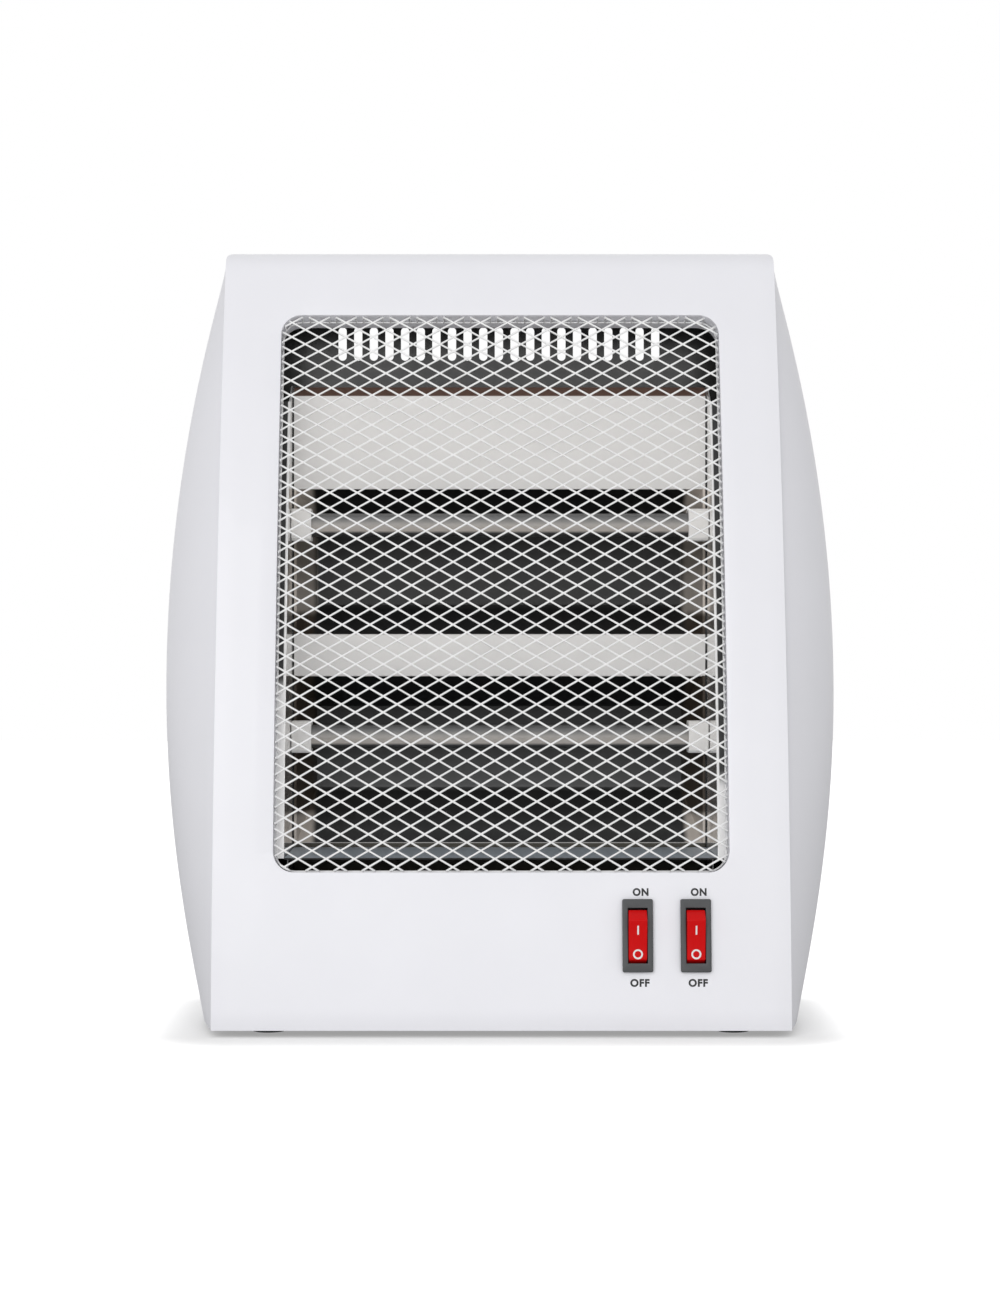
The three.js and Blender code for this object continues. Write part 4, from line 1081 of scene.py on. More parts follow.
@dataclass
class FrontCover:
    """The moulded front: face, roll and top in one, with a collar round the window."""

    wall: float = 2.2
    rounding: float = 0.55
    step: float = 9
    corner_steps: int = 6
    roll_steps: int = 14
    top_step: float = 12
    collar_steps: int = 4

    def sheet(self) -> bpy.types.Object:
        """The outside of the cover and the inside of its collar, as one open sheet."""
        w = WINDOW
        half = FACE.width / 2
        inner_x = w.half - w.corner
        switch_s = [SWITCHES.up + way * SWITCHES.half_length for way in (-1, 1)]
        arc = [w.corner * i / self.corner_steps for i in range(self.corner_steps + 1)]
        xs = lines([-half, half, *SWITCHES.sides, *(s * (inner_x + a) for a in arc for s in (-1, 1))], self.step)
        stops = [0, *switch_s, *(w.bottom + a for a in arc), *(w.top - a for a in arc), FACE.length]
        n = self.roll_steps
        roll = [FACE.length + FACE.roll_length * i / n for i in range(n + 1)]
        rows = lines([*stops, *roll], self.step) + lines([roll[-1], FACE.end], self.top_step)[1:]
        across = len(xs)
        faces = []
        for j, (low, high) in enumerate(zip(rows, rows[1:])):
            for i, (left, right) in enumerate(zip(xs, xs[1:])):
                if not self.is_open((left + right) / 2, (low + high) / 2):
                    here = j * across + i
                    faces.append((here, here + 1, here + across + 1, here + across))
        points = [self.on_cover(x, s) for s in rows for x in xs]
        self.add_corners(points, faces)
        self.add_collar(points, faces)
        return add_mesh("front_cover_shell", points, faces)

    @staticmethod
    def is_open(x: float, s: float) -> bool:
        """Whether a place on the face lies in the window or a switch cut-out."""
        if abs(x) < WINDOW.half and WINDOW.bottom < s < WINDOW.top:
            return True
        near = any(abs(x - centre) < SWITCHES.half_width for centre in SWITCHES.across)
        return near and abs(s - SWITCHES.up) < SWITCHES.half_length

    @staticmethod
    def on_cover(x: float, s: float) -> Point:
        """A point of the cover, with the upper corners drawn in."""
        _, y, z = FACE.at(x, s, 0)
        return x * (1 - FACE.inset(z) / (FACE.width / 2)), y, z

    def add_corners(self, points: list[Point], faces: list[Sequence[int]]) -> None:
        """Fills the four corners between the square grid and the round window.

        Args:
            points: the sheet's points, added to.
            faces: the sheet's faces, added to.
        """
        w, m = WINDOW, self.corner_steps
        for way, edge, rise in ((-1, w.bottom, 1), (1, w.bottom, 1), (-1, w.top, -1), (1, w.top, -1)):
            start = len(points)
            for i in range(2 * m + 1):
                down, over = min(i, m) / m, max(i - m, 0) / m
                u, v = w.corner * (1 - down), w.corner * over
                points.append(self.on_cover(way * (w.half - v), edge + rise * u))
                a = math.pi / 2 * i / (2 * m)
                r = w.corner
                x = w.half - r + r * math.cos(a)
                points.append(self.on_cover(way * x, edge + rise * (r - r * math.sin(a))))
            for i in range(2 * m):
                k = start + 2 * i
                face = (k, k + 2, k + 3, k + 1)
                faces.append(face if way * rise > 0 else face[::-1])

    def add_collar(self, points: list[Point], faces: list[Sequence[int]]) -> None:
        """Adds the inside of the collar.

        Args:
            points: the sheet's points, added to.
            faces: the sheet's faces, added to.
        """
        rim = window_outline(0, self.corner_steps * 2, self.step)
        depths = [WINDOW.collar * i / self.collar_steps for i in range(self.collar_steps + 1)]
        start = len(points)
        for n in depths:
            points += [FACE.at(x, s, n) for x, s in rim]
        count = len(rim)
        for row in range(len(depths) - 1):
            for i in range(count):
                a, b = start + row * count + i, start + row * count + (i + 1) % count
                faces.append((a, b, b + count, a + count))

    def make(self) -> None:
        """Builds the cover."""
        cover = tidy(self.sheet(), 0.01)
        if sum(face.normal.y for face in cover.data.polygons) > 0:
            cover.data.flip_normals()
        thicken(cover, self.wall)
        soften(cover, self.rounding, 3, 50)
        finished(cover, Surface.COVER, "front_cover")


def window_outline(grow: float, corner_steps: int, step: float) -> list[Pair]:
    """The window's outline, anticlockwise.

    Args:
        grow: how far outside the window it runs.
        corner_steps: steps in each corner.
        step: widest step along the sides, counted from the same stops as the cover's grid.

    Returns:
        Places across and up the face.
    """
    w = WINDOW
    r = w.corner + grow
    inner_x = w.half - w.corner
    low, high = w.bottom + w.corner, w.top - w.corner
    run = lines([-inner_x, inner_x, *(x for x in SWITCHES.sides if abs(x) < inner_x)], step)[1:-1]
    rise = lines([low, high], step)[1:-1]
    outline: list[Pair] = []
    corners = ((inner_x, low), (inner_x, high), (-inner_x, high), (-inner_x, low))
    sides = (rise, run[::-1], rise[::-1], run)
    for quarter, ((x, s), stops) in enumerate(zip(corners, sides)):
        for i in range(corner_steps + 1):
            a = math.radians(90 * (quarter - 1) + 90 * i / corner_steps)
            outline.append((x + r * math.cos(a), s + r * math.sin(a)))
        side_x, side_s = outline[-1]
        outline += [(stop, side_s) if quarter % 2 else (side_x, stop) for stop in stops]
    return outline


@dataclass
class SideCovers:
    """The bulging side shells and the posts that take their screws."""

    wall: float = 2
    bulge: float = 27.3
    middle: float = 160
    radius_below: float = 632
    radius_above: float = 707
    inside: float = 2.5
    rear: float = 61.1
    post_radius: float = 4.5
    columns: int = 28
    rows: int = 60
    roll_rows: int = 10

    def stand_out(self, z: float, fraction: float) -> float:
        """How far a side stands out at a height and a fraction of its depth."""
        radius = self.radius_above if z > self.middle else self.radius_below
        full = max(self.bulge - (z - self.middle) ** 2 / (2 * radius), 0)
        return full * (1 - (2 * fraction - 1) ** 2)

    def sheet(self, side: Side) -> bpy.types.Object:
        """The outside of one cover as an open sheet."""
        turn_from = FACE.centre[1] + (FACE.radius - self.inside) * math.sin(FACE.lean_top)
        heights = [FACE.foot + (turn_from - FACE.foot) * i / self.rows for i in range(self.rows)]
        reach, bend = FACE.roll - self.inside, math.pi / 2 - FACE.lean_top
        turns = [FACE.lean_top + bend * i / self.roll_rows for i in range(self.roll_rows + 1)]
        heights += [FACE.roll_centre[1] + reach * math.sin(turn) for turn in turns]
        points, faces = [], []
        for z in heights:
            start = FACE.y_at(z, self.inside)
            # the shell is drawn in by as much as the cover over it
            lift = self.inside * min(max((z - turn_from) / (heights[-1] - turn_from), 0), 1)
            for i in range(self.columns + 1):
                fraction = i / self.columns
                x = FACE.width / 2 + self.stand_out(z, fraction) - FACE.inset(z + lift)
                points.append((side.value * x, start + (self.rear - start) * fraction, z))
        for j in range(len(heights) - 1):
            for i in range(self.columns):
                a = j * (self.columns + 1) + i
                face = (a, a + 1, a + self.columns + 2, a + self.columns + 1)
                faces.append(face if side is Side.RIGHT else face[::-1])
        return add_mesh(f"side_shell_{side.word}", points, faces)

    def post(self, side: Side, y: float, z: float) -> bpy.types.Object:
        """A post from the inside of the shell to the chassis."""
        start = FACE.y_at(z, self.inside)
        outer = FACE.width / 2 - self.wall / 2 + self.stand_out(z, (y - start) / (self.rear - start)) - 1
        inner = CHASSIS_OUTSIDE + FIT

        def place(u: float, v: float, station: float) -> Point:
            """A point of the post."""
            return side.value * station, y + u, z + v

        return turned("post", [(self.post_radius, inner), (self.post_radius, outer)], place, 32)

    def make(self) -> None:
        """Builds both covers."""
        for side in Side:
            shell = thicken(self.sheet(side), self.wall)
            soften(shell, 0.5, 3, 50)
            posts = [self.post(side, y, z) for _, y, z in POSTS]
            whole = smooth(joined(f"side_cover_shell_{side.word}", [shell, *posts]))
            finished(whole, Surface.SIDES, f"side_cover_{side.word}")


@dataclass
class RearPanel:
    """The flat rear panel with its row of slots and its cord bush."""

    thickness: float = 1
    top: float = 354.598
    hole: float = 1.8
    slots: int = 21
    pitch: float = 7.57
    slot_width: float = 4
    slot_length: float = 16.2
    slot_height: float = 318.898
    gland_x: float = 70
    gland_height: float = 26
    gland_neck: float = 5.4
    gland_bore: float = 4
    gland_flange: float = 8
    gland_back: float = 64.5

    def rims(self) -> bpy.types.Object:
        """The panel's outline and its round holes as loops in X and Y."""
        half, r = FACE.width / 2 - FIT, FACE.corner
        turns = [math.radians(a) for a in range(0, 91, 15)]
        outline = [(half, FACE.foot)]
        outline += [(half - r + r * math.cos(a), self.top - r + r * math.sin(a)) for a in turns]
        outline += [(-x, z) for x, z in reversed(outline)]
        loops = [outline]
        holes = [(s * SCREW_LINE, z, self.hole) for s in (-1, 1) for z in REAR_SCREW_HEIGHTS]
        for x, z, radius in [*holes, (self.gland_x, self.gland_height, self.gland_neck + FIT)]:
            loops.append([(x + radius * math.cos(a), z + radius * math.sin(a)) for a in circle(32)])
        points, edges = [], []
        for loop in loops:
            first = len(points)
            points += [(x, z, 0) for x, z in loop]
            edges += [(first + i, first + (i + 1) % len(loop)) for i in range(len(loop))]
        return add_mesh("rear_panel_sheet", points, edges=edges)

    def make(self) -> None:
        """Builds the panel and the bush."""
        panel = slotted_panel_tree().make(
            self.rims(), Surface.REAR, Slots=self.slots, Pitch=self.pitch * MM,
            Slot_width=self.slot_width * MM, Slot_length=self.slot_length * MM,
            Slot_height=self.slot_height * MM, Thickness=self.thickness * MM,
        )
        front = min(v.co.z for v in panel.data.vertices)
        for v in panel.data.vertices:
            x, z, y = v.co
            v.co = (x, FACE.rear * MM - self.thickness * MM + (y - front), z)
        tidy(panel, 0.001)
        # the inner faces take the dark bare steel, whose darkness is painted shade
        panel.data.materials.append(Surface.INNER.material)
        for face in panel.data.polygons:
            face.material_index = 1 if face.normal.y < -0.5 else 0
        finished(panel, Surface.REAR, "rear_panel")
        self.make_gland()

    def make_gland(self) -> None:
        """Builds the cord's bush, with a rounded flange and a ribbed neck."""
        bore, neck, flange = self.gland_bore, self.gland_neck, self.gland_flange
        out = self.gland_back - FACE.rear
        profile = [
            (bore, -6), (neck + 0.2, -6), (neck + 2 * FIT, -5.6), (neck, -1 - FIT), (neck, FIT),
            (flange - 0.3, FIT), (flange, FIT + 0.3), (flange, out - 1.0), (flange - 0.25, out - 0.35),
            (flange - 0.9, out), (bore + 0.7, out), (bore + 0.15, out - 0.2), (bore, out - 0.7),
        ]

        def place(u: float, v: float, station: float) -> Point:
            """A point of the bush."""
            return self.gland_x + v, FACE.rear + station, self.gland_height + u

        gland = smooth(turned("cord_bush", profile, place, 48, True), 40)
        finished(gland, Surface.BLACK, "cord_gland")


# --- Guard, reflector and tubes ---------------------------------------------------------


@dataclass
class Guard:
    """The diamond net of thin wire, bent to the face and folded back inside the collar."""

    step: Pair = (6.2387, 3.65)
    start: Pair = (3.4935, -1.02)
    gap: float = 0.75
    inset: float = 1.05
    wire: float = 0.45
    fold: float = 6.5
    most: int = 60
    halvings: int = 20
    weave: float = 0.06

    def beyond(self, x: float, s: float) -> float:
        """How far a place lies outside the net's rounded outline."""
        r = WINDOW.corner - self.gap
        middle, tall = (WINDOW.bottom + WINDOW.top) / 2, (WINDOW.top - WINDOW.bottom) / 2
        u, v = abs(x) - (WINDOW.half - WINDOW.corner), abs(s - middle) - (tall - WINDOW.corner)
        return math.hypot(max(u, 0), max(v, 0)) + min(max(u, v), 0) - r

    def strand(self, way: int, number: int) -> list[Point]:
        """One strand from edge to edge with its ends folded back.

        Args:
            way: 1 if it climbs to the right, -1 if it climbs to the left.
            number: which strand, counted in cells.

        Returns:
            Its points, or none if it misses the window.
        """
        def spot(t: float) -> Pair:
            """The place at a number of half cells along the strand."""
            return self.start[0] + self.step[0] * (way * t + 2 * number), self.start[1] + self.step[1] * t

        inner = [t for t in range(2 * self.most) if self.beyond(*spot(t)) < 0]
        if not inner:
            return []
        ends = []
        for t, out in ((inner[0], inner[0] - 1), (inner[-1], inner[-1] + 1)):
            for _ in range(self.halvings):
                middle = (t + out) / 2
                t, out = (middle, out) if self.beyond(*spot(middle)) < 0 else (t, middle)
            ends.append(t)
        depth = self.inset - self.weave * way
        run = [FACE.at(*spot(t), depth) for t in (ends[0], *inner, ends[1])]
        return [FACE.at(*spot(ends[0]), self.fold), *run, FACE.at(*spot(ends[1]), self.fold)]

    def wires(self) -> bpy.types.Object:
        """Every strand, and the wire that ties their ends, as lines of edges."""
        points: list[Point] = []
        edges: list[tuple[int, int]] = []
        for way in (1, -1):
            for number in range(-self.most, self.most + 1):
                first = len(points)
                points += self.strand(way, number)
                edges += [(k, k + 1) for k in range(first, len(points) - 1)]
        first = len(points)
        points += [FACE.at(x, s, self.fold) for x, s in window_outline(-self.gap, 8, 6)]
        edges += [(k, k + 1) for k in range(first, len(points) - 1)] + [(len(points) - 1, first)]
        return add_mesh("guard_net", points, edges=edges)

    def make(self) -> None:
        """Builds the guard."""
        net = wire_tree().make(self.wires(), Surface.GUARD, Radius=self.wire * MM, Sides=6)
        finished(smooth(net, 60), Surface.GUARD, "guard_mesh")


@dataclass
class Reflector:
    """The bright sheets: reflector, its side plates and the deck."""

    fold: float = 0.35

    def make(self) -> None:
        """Softens the folds of the sheets."""
        for node, surface in (
            ("reflector", Surface.SHEET), ("reflector_side_plate_left", Surface.PLATE),
            ("reflector_side_plate_right", Surface.PLATE), ("deck_plate", Surface.DECK),
        ):
            sheet = copied(node, f"{node}_folded")
            soften(sheet, self.fold, 2, 15)
            finished(sheet, surface, node)


@dataclass
class Tubes:
    """The two quartz tubes, their coils and their holders."""

    y: float = 12
    heights: tuple[tuple[str, float], ...] = (("upper", 229), ("lower", 130.3))
    radius: float = 5.5
    wall: float = 1
    half: float = 91.7
    coil_half: float = 82.3
    coil_radius: float = 3.4
    coil_wire: float = 0.32
    turns: int = 92

    def along(self, z: float) -> Callable[[float, float, float], Point]:
        """A function that lays turned points along a tube at a height."""
        return lambda u, v, station: (station, self.y + u, z + v)

    def tube(self, level: str, z: float) -> None:
        """Builds one tube with rounded ends."""
        inner, outer, end = self.radius - self.wall, self.radius, self.half
        stations = lines([-end + 0.3, end - 0.3], 12)
        profile = [(inner, -end + 0.25), (inner + 0.25, -end), (outer - 0.3, -end)]
        profile += [(outer, x) for x in stations]
        profile += [(outer - 0.3, end), (inner + 0.25, end), (inner, end - 0.25)]
        glass = smooth(turned(f"quartz_{level}", profile, self.along(z), 48, True), 40)
        finished(glass, Surface.QUARTZ, f"quartz_tube_{level}")

    def coil(self, tree: Builder, level: str, z: float) -> None:
        """Winds one coil and lays it in its tube, with its straight ends."""
        seed = add_mesh(f"winding_{level}", [(0, 0, 0)], [])
        winding = tree.make(
            seed, Surface.WIRE, Turns=self.turns, Coil_radius=self.coil_radius * MM,
            Length=2 * self.coil_half * MM, Wire_radius=self.coil_wire * MM,
        )
        for v in winding.data.vertices:
            across, up, station = v.co
            v.co = (station - self.coil_half * MM, self.y * MM + across, z * MM + up)
        ends, wire = [], self.coil_wire
        for sign in (-1, 1):
            start, stop = sign * (self.coil_half - 0.4), sign * (self.coil_half + 1.6)
            rings = []
            for x, y in ((start, self.coil_radius), (start + sign * 0.8, 1.0), (stop, 0)):
                rings.append([(x, self.y + y + wire * math.cos(a), z + wire * math.sin(a)) for a in circle(8)])
            ends.append(skin("coil_end", rings))
        whole = smooth(joined(f"coil_{level}", [winding, *ends]), 60)
        finished(whole, Surface.WIRE, f"heating_coil_{level}")

    def make(self) -> None:
        """Builds the tubes, coils, holders and terminals."""
        tree = coil_tree()
        for level, z in self.heights:
            self.tube(level, z)
            self.coil(tree, level, z)
            for side in Side:
                node = f"tube_holder_{level}_{side.word}"
                holder = copied(node, f"ceramic_{level}_{side.word}")
                finished(soften(holder, 0.4, 3, 30), Surface.CERAMIC, node)
                node = f"tube_terminal_{level}_{side.word}"
                pin = soften(copied(node, f"pin_{level}_{side.word}"), 0.25, 2, 50)
                finished(pin, Surface.SCREW, node)


# --- Switches --------------------------------------------------------------------------


@dataclass
class RockerSwitches:
    """The two rocker switches, their marks and the words beside them."""

    tilt: float = math.radians(12)
    half: float = 4.1
    crown: float = 9
    ridge: float = 8.9
    valley: float = 8.4
    end_up: float = 12.5
    end_out: float = 4
    bottom: float = 2.2
    axle: float = 1.2
    axle_reach: float = 5.7
    ink: Pair = (-0.05, 0.04)
    mark_heights: Pair = (4.25, -6.5)
    bar_half: Pair = (0.36, 2.0)
    ring_radii: Pair = (1.45, 2.2)
    letter_height: float = 3.1
    letter_bold: float = 0.2
    words: tuple[tuple[str, float, float, float], ...] = (("ON", 63.6, 1.45, 7.0), ("OFF", 23.9, 0.9, 8.5))

    def dish(self) -> list[Pair]:
        """The dished top between the two ridges, as out and up."""
        drop = self.crown - self.valley
        steps = [-1 + i / 6 for i in range(13)]
        return [(self.crown - drop * (1 - t * t), self.ridge * t) for t in steps]

    def rocker(self, side: Side) -> bpy.types.Object:
        """One rocker at rest, with its upper end standing out."""
        outline = [(self.end_out, -self.end_up), *self.dish(), (self.end_out, self.end_up)]
        outline += [(0, self.ridge), (-self.bottom, self.ridge / 2), (-self.bottom, -self.ridge / 2)]
        outline += [(0, -self.ridge)]
        rings = [[(x, -out, up) for out, up in outline] for x in (-self.half, self.half)]
        body = soften(skin("rocker_body", rings), 0.45, 3, 30)

        def place(u: float, v: float, station: float) -> Point:
            """A point of the axle."""
            return station, u, v

        axle = turned("axle", [(self.axle, -self.axle_reach), (self.axle, self.axle_reach)], place, 24)
        made = smooth(joined(f"rocker_{side.word}_moulded", [body, axle]), 40)
        return self.moved(made, side)

    def moved(self, made: bpy.types.Object, side: Side) -> bpy.types.Object:
        """Puts a piece drawn in the rocker's own frame in its place.

        Args:
            made: the object.
            side: which switch.

        Returns:
            The same object.
        """
        turn = Matrix.Rotation(self.tilt, 4, "X")
        matrix = Matrix.Scale(MM, 4) @ SWITCHES.frame(side) @ turn @ Matrix.Scale(1 / MM, 4)
        made.data.transform(matrix)
        made.data.update()
        return made

    def mark(self, side: Side, name: str, loops: list[list[Pair]], up: float) -> None:
        """Prints a mark on the dished top.

        Args:
            side: which switch.
            name: the mark's name.
            loops: an inner and an outer loop, or one loop, across and up.
            up: height of its centre on the rocker.
        """
        drop, (below, above) = self.crown - self.valley, self.ink

        def lay(u: float, v: float, lift: float) -> Point:
            """A point of the mark, lifted from the top."""
            t = (up + v) / self.ridge
            return u, -(self.crown - drop * (1 - t * t) + lift), up + v

        if len(loops) == 1:
            rings = [[lay(u, v, lift) for u, v in loops[0]] for lift in (below, above)]
        else:
            rings = [[lay(*i, below), lay(*o, below), lay(*o, above), lay(*i, above)] for i, o in zip(*loops)]
        made = skin(name, rings, len(loops) > 1)
        made.data.materials.append(print_ink("mark_white", shade(236), 0.4))
        self.moved(made, side)
        finished(made, Surface.ROCKER, body=f"rocker_{side.word}")

    def word(self, text: str, x: float, s: float, width: float) -> bpy.types.Object:
        """A printed word on the face.

        Args:
            text: the word.
            x: its centre across.
            s: its centre up the face.
            width: how wide it is.

        Returns:
            The object.
        """
        curve = bpy.data.curves.new(f"word_{text}", "FONT")
        curve.body = text
        curve.align_x, curve.align_y = "CENTER", "CENTER"
        curve.extrude = 0.02
        curve.offset = self.letter_bold
        curve.size = self.letter_height / 0.7
        curve.space_character = 1.14
        draft = linked(f"word_{text}", curve)
        bpy.context.view_layer.update()
        graph = bpy.context.evaluated_depsgraph_get()
        mesh = bpy.data.meshes.new_from_object(draft.evaluated_get(graph))
        bpy.data.objects.remove(draft)
        xs, ys = [v.co.x for v in mesh.vertices], [v.co.y for v in mesh.vertices]
        middle, squeeze = (min(ys) + max(ys)) / 2, width / (max(xs) - min(xs))
        centre = (min(xs) + max(xs)) / 2
        for v in mesh.vertices:
            place = x + (v.co.x - centre) * squeeze, s + v.co.y - middle
            v.co = Vector(FACE.at(*place, -0.03 - v.co.z)) * MM
        return tidy(linked(f"word_{text.lower()}_{round(x)}", mesh), 0.001)

    def make(self) -> None:
        """Builds both switches."""
        ink = print_ink("letter_ink", shade(16, -3), 0.5)
        u, v = self.bar_half
        bar = [(-u, -v), (u, -v), (u, v), (-u, v)]
        ring = [[(r * math.cos(a), r * math.sin(a)) for a in circle(40)] for r in self.ring_radii]
        for side in Side:
            node = f"rocker_{side.word}"
            finished(self.rocker(side), Surface.ROCKER, node, body=node)
            self.mark(side, f"mark_on_{side.word}", [bar], self.mark_heights[0])
            self.mark(side, f"mark_off_{side.word}", ring, self.mark_heights[1])
            node = f"switch_body_{side.word}"
            finished(soften(copied(node, f"bezel_{side.word}"), 0.35, 3, 40), Surface.SWITCH, node)
            for text, z, aside, width in self.words:
                s = (z - FACE.foot) / math.cos(FACE.lean(z / 2))
                made = self.word(text, SWITCHES.middle(side) + aside, s, width)
                made.data.materials.clear()
                made.data.materials.append(ink)
                finished(made, Surface.COVER)


# --- Base and small parts --------------------------------------------------------------


@dataclass
class Screws:
    """Pan-head screws with a cross recess, all of one size."""

    head: float = 3
    head_height: float = 1.8
    shank: float = 1.5
    shank_length: float = 7
    base_places: tuple[tuple[str, float], ...] = (("front", -10), ("rear", 22))
    cross_arm: float = 1.75
    cross_half: float = 0.36
    cross_depth: float = 1.0
    chassis_wall: float = 1.0

    def pattern(self) -> bpy.types.Object:
        """One screw with the underside of its head at the origin and its head up Z."""
        profile = [(0.6, -self.shank_length), (self.shank, 1 - self.shank_length)]
        for i in range(9):
            z = 1 - self.shank_length + (self.shank_length - 1.2) * (i + 0.5) / 9
            profile += [(self.shank, z - 0.2), (self.shank - 0.25, z)]
        profile += [(self.shank, -0.2), (self.shank, 0), (self.head - 0.15, 0), (self.head, 0.15)]
        rise = [(1.0, 0.35), (0.93, 0.62), (0.8, 0.82), (0.6, 0.93), (0.35, 0.985), (0.12, 1.0)]
        profile += [(self.head * r, self.head_height * h) for r, h in rise]
        screw = turned("screw_pattern", profile, lambda u, v, station: (u, v, station), 24)
        arm, width, depth = self.cross_arm, self.cross_half, self.cross_depth
        cross = [
            (width, width), (width, arm), (-width, arm), (-width, width), (-arm, width), (-arm, -width),
            (-width, -width), (-width, -arm), (width, -arm), (width, -width), (arm, -width), (arm, width),
        ]
        rings = [
            [(u * k, v * k, z) for u, v in cross]
            for z, k in ((self.head_height - depth, 0.55), (self.head_height + 0.3, 1.05))
        ]
        cutter = skin("cross_cutter", rings)
        cut = screw.modifiers.new("recess", "BOOLEAN")
        cut.operation = "DIFFERENCE"
        cut.solver = "EXACT"
        cut.object = cutter
        settle(screw)
        bpy.data.objects.remove(cutter)
        return smooth(screw, 30)

    def places(self) -> dict[str, tuple[Point, Point]]:
        """Each screw's node with its place and the way that its head points."""
        result = {}
        for side in Side:
            x = side.value * SCREW_LINE
            for level, z in zip(("lower", "middle", "upper"), REAR_SCREW_HEIGHTS):
                result[f"rear_screw_{side.word}_{level}"] = ((x, FACE.rear + FIT, z), (0, 1, 0))
            for end, y in self.base_places:
                result[f"base_screw_{end}_{side.word}"] = ((x, y, FACE.foot - FIT), (0, 0, -1))
            for level, y, z in POSTS:
                inner = side.value * (CHASSIS_OUTSIDE - self.chassis_wall - FIT)
                result[f"side_screw_{side.word}_{level}"] = ((inner, y, z), (-side.value, 0, 0))
        return result

    def make(self) -> None:
        """Sets every screw in its place."""
        places = self.places()
        made = add_mesh("screws", [place for place, _ in places.values()])
        aim = made.data.attributes.new("aim", "FLOAT_VECTOR", "POINT")
        for item, (_, way) in zip(aim.data, places.values()):
            item.vector = way
        pattern = self.pattern()
        screw_tree().make(made, Surface.SCREW, Screw=pattern)
        bpy.data.objects.remove(pattern)
        finished(smooth(made, 30), Surface.SCREW, *places)


@dataclass
class SmallParts:
    """Feet, base, chassis, leads and what stands on the base."""

    foot_x: float = 104
    foot_y: float = 40

    def foot(self, name: str, x: float, y: float) -> None:
        """Builds a rubber foot with a ribbed side.

        Args:
            name: its node.
            x: its place across.
            y: its place from front to back.
        """
        profile = [
            (2.2, 0.5), (2.6, 0), (7.0, 0), (7.6, 0.2), (8.0, 0.8), (8.0, 1.2), (7.85, 1.4), (8.0, 1.6),
            (8.0, 2.4), (7.8, 2.7), (3, 2.7), (3, 4.5), (4.4, 4.6), (4.3, 4.9), (2, 7.0),
        ]
        made = turned(f"{name}_rubber", profile, lambda u, v, z: (x + u, y + v, z), 40)
        finished(smooth(made, 35), Surface.RUBBER, name)

    def make(self) -> None:
        """Builds or softens each part."""
        for end, way in (("front", -1), ("rear", 1)):
            for side in Side:
                self.foot(f"foot_{end}_{side.word}", side.value * self.foot_x, way * self.foot_y)
        soft = {
            "base_plate": (0.3, Surface.STEEL), "chassis_side_left": (0.3, Surface.STEEL),
            "chassis_side_right": (0.3, Surface.STEEL), "terminal_block": (0.5, Surface.PALE),
            "tip_switch_body": (0.5, Surface.BLACK),
        }
        for side in Side:
            for level in ("upper", "lower"):
                soft[f"switch_tab_{side.word}_{level}"] = (0.15, Surface.SCREW)
        for node, (width, surface) in soft.items():
            finished(soften(copied(node, f"{node}_edged"), width, 2, 40), surface, node)
        plunger = soften(copied("tip_switch_plunger", "tip_plunger_pin"), 0.25, 2, 50)
        finished(plunger, Surface.PALE, "tip_switch_plunger", body="tip_plunger")
        for lead in ("tube_link", "return", "upper_tube", "lower_tube", "tip_switch"):
            node = f"lead_{lead}"
            sleeve = copied(node, f"{node}_sleeve")
            round_off = sleeve.modifiers.new("round", "SUBSURF")
            round_off.levels = round_off.render_levels = 2
            finished(smooth(settle(sleeve), 60), Surface.SLEEVE, node)
        for slot in NODES["tip_switch_spring"].material_slots:
            slot.material = Surface.SCREW.material


# --- Studio ----------------------------------------------------------------------------


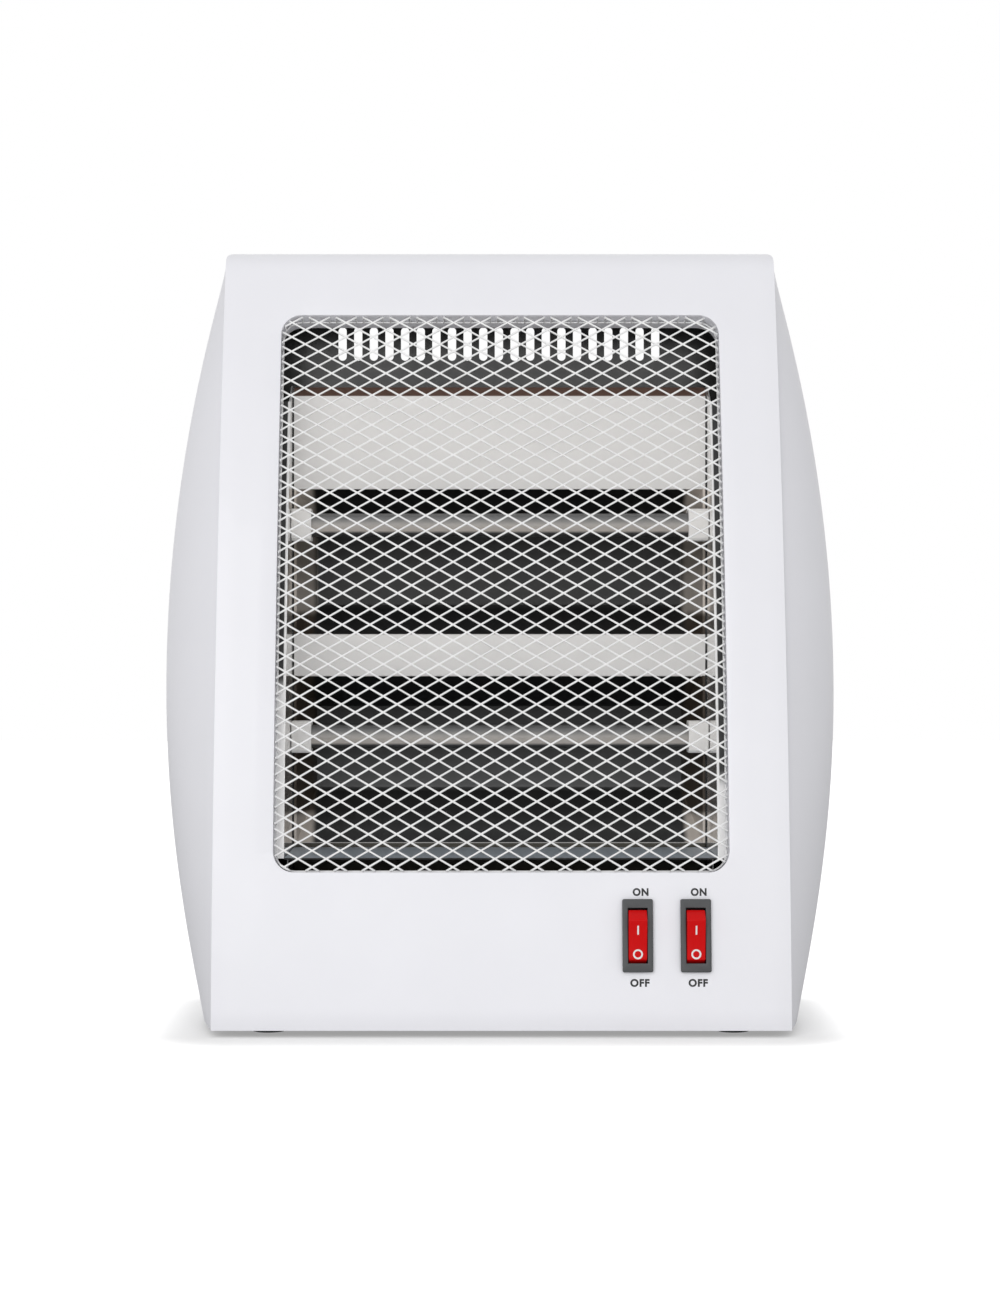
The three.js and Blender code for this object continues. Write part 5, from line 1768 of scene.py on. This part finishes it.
@dataclass
class Studio:
    """Floor, lamps, world and camera."""

    distance: float = 1250
    eye_height: float = 170.7
    eye_side: float = -12
    shift: float = 0.0199
    lens: float = 78.62
    film: float = 36
    floor_half: float = 4000
    floor_glow: float = 0.33
    far_glow: float = 0.5
    floor_white: Colour = (0.66, 0.66, 0.66)
    floor_core: Pair = (0.118, 0.058)
    floor_fade: Pair = (0.0, 0.0024)
    air: float = 0.58

    def camera(self) -> None:
        """Sets the camera level in front of the heater."""
        data = bpy.data.cameras.new("camera")
        data.lens = self.lens
        data.sensor_fit = "VERTICAL"
        data.sensor_height = self.film
        data.shift_x = self.shift
        data.clip_end = 50
        made = linked("camera", data)
        made.location = Vector((self.eye_side, FACE.front - self.distance, self.eye_height)) * MM
        made.rotation_euler = (math.pi / 2, 0, 0)
        bpy.context.scene.camera = made

    def floor(self) -> None:
        """Lays a wide white floor that keeps the heater's shadow."""
        half = self.floor_half
        corners = [(-half, -half, 0), (half, -half, 0), (half, half, 0), (-half, half, 0)]
        floor = add_mesh("studio_floor", corners, [(0, 1, 2, 3)])
        made = bpy.data.materials.new("studio_floor")
        made.use_nodes = True
        recipe = Recipe(made.node_tree)
        across, back = recipe.height("X"), recipe.height("Y")
        beside = (abs(across) - self.floor_core[0]).highest(0)
        before = (abs(back) - self.floor_core[1]).highest(0)
        away = (beside * beside + before * before).over(*self.floor_fade)
        paper = recipe.node("ShaderNodeBsdfDiffuse", {}, {"Color": tinted(shade(225))})
        shown = recipe.node("ShaderNodeBsdfDiffuse", {}, {"Color": tinted(self.floor_white)})
        glow = recipe.node("ShaderNodeEmission", {}, {"Strength": self.floor_glow + away * self.far_glow})
        white = recipe.node("ShaderNodeAddShader", {}, {0: shown, 1: glow})
        seen = recipe.node("ShaderNodeLightPath", {}, {}, "Is Camera Ray")
        both = recipe.node("ShaderNodeMixShader", {}, {0: seen, 1: paper, 2: white})
        recipe.node("ShaderNodeOutputMaterial", {}, {"Surface": both})
        floor.data.materials.append(made)

    def lamp(self, name: str, at: Point, aim: Point, size: float, power: float) -> None:
        """Hangs a soft square lamp.

        Args:
            name: its name.
            at: its place in millimetres.
            aim: the point it faces.
            size: its edge in millimetres.
            power: its power in watts.
        """
        data = bpy.data.lights.new(name, "AREA")
        data.size = size * MM
        data.energy = power
        made = linked(name, data)
        made.location = Vector(at) * MM
        made.rotation_euler = (Vector(aim) - Vector(at)).to_track_quat("-Z", "Y").to_euler()

    def world(self) -> None:
        """Fills the room with even light and shows it white."""
        world = bpy.data.worlds.new("studio")
        world.use_nodes = True
        bpy.context.scene.world = world
        recipe = Recipe(world.node_tree)
        path = {name: recipe.node("ShaderNodeLightPath", {}, {}, name) for name in (
            "Is Camera Ray", "Is Glossy Ray", "Is Transmission Ray",
        )}
        seen = path["Is Camera Ray"].highest(path["Is Glossy Ray"]).highest(path["Is Transmission Ray"])
        strength = self.air + seen * (1 - self.air)
        surface = recipe.node("ShaderNodeBackground", {}, {"Color": (1, 1, 1, 1), "Strength": strength})
        recipe.node("ShaderNodeOutputWorld", {}, {"Surface": surface})

    def make(self) -> None:
        """Sets up the studio."""
        self.camera()
        self.floor()
        self.world()
        self.lamp("key", (-900, -2300, 950), (0, 0, 150), 1400, 17)
        self.lamp("fill", (600, -2000, 325), (0, 0, 200), 1200, 4.5)
        self.lamp("low", (-100, -1900, 120), (0, 0, 300), 600, 1.8)
        bpy.context.scene.view_settings.view_transform = "Standard"


def main() -> None:
    """Builds every sub-assembly in order."""
    logging.basicConfig(level=logging.INFO, format="%(message)s")
    Studio().make()
    for assembly in (
        FrontCover(), SideCovers(), RearPanel(), Guard(), Reflector(), Tubes(), RockerSwitches(),
        Screws(), SmallParts(),
    ):
        log.info("%s", type(assembly).__name__)
        assembly.make()


if __name__ == "__main__":
    main()
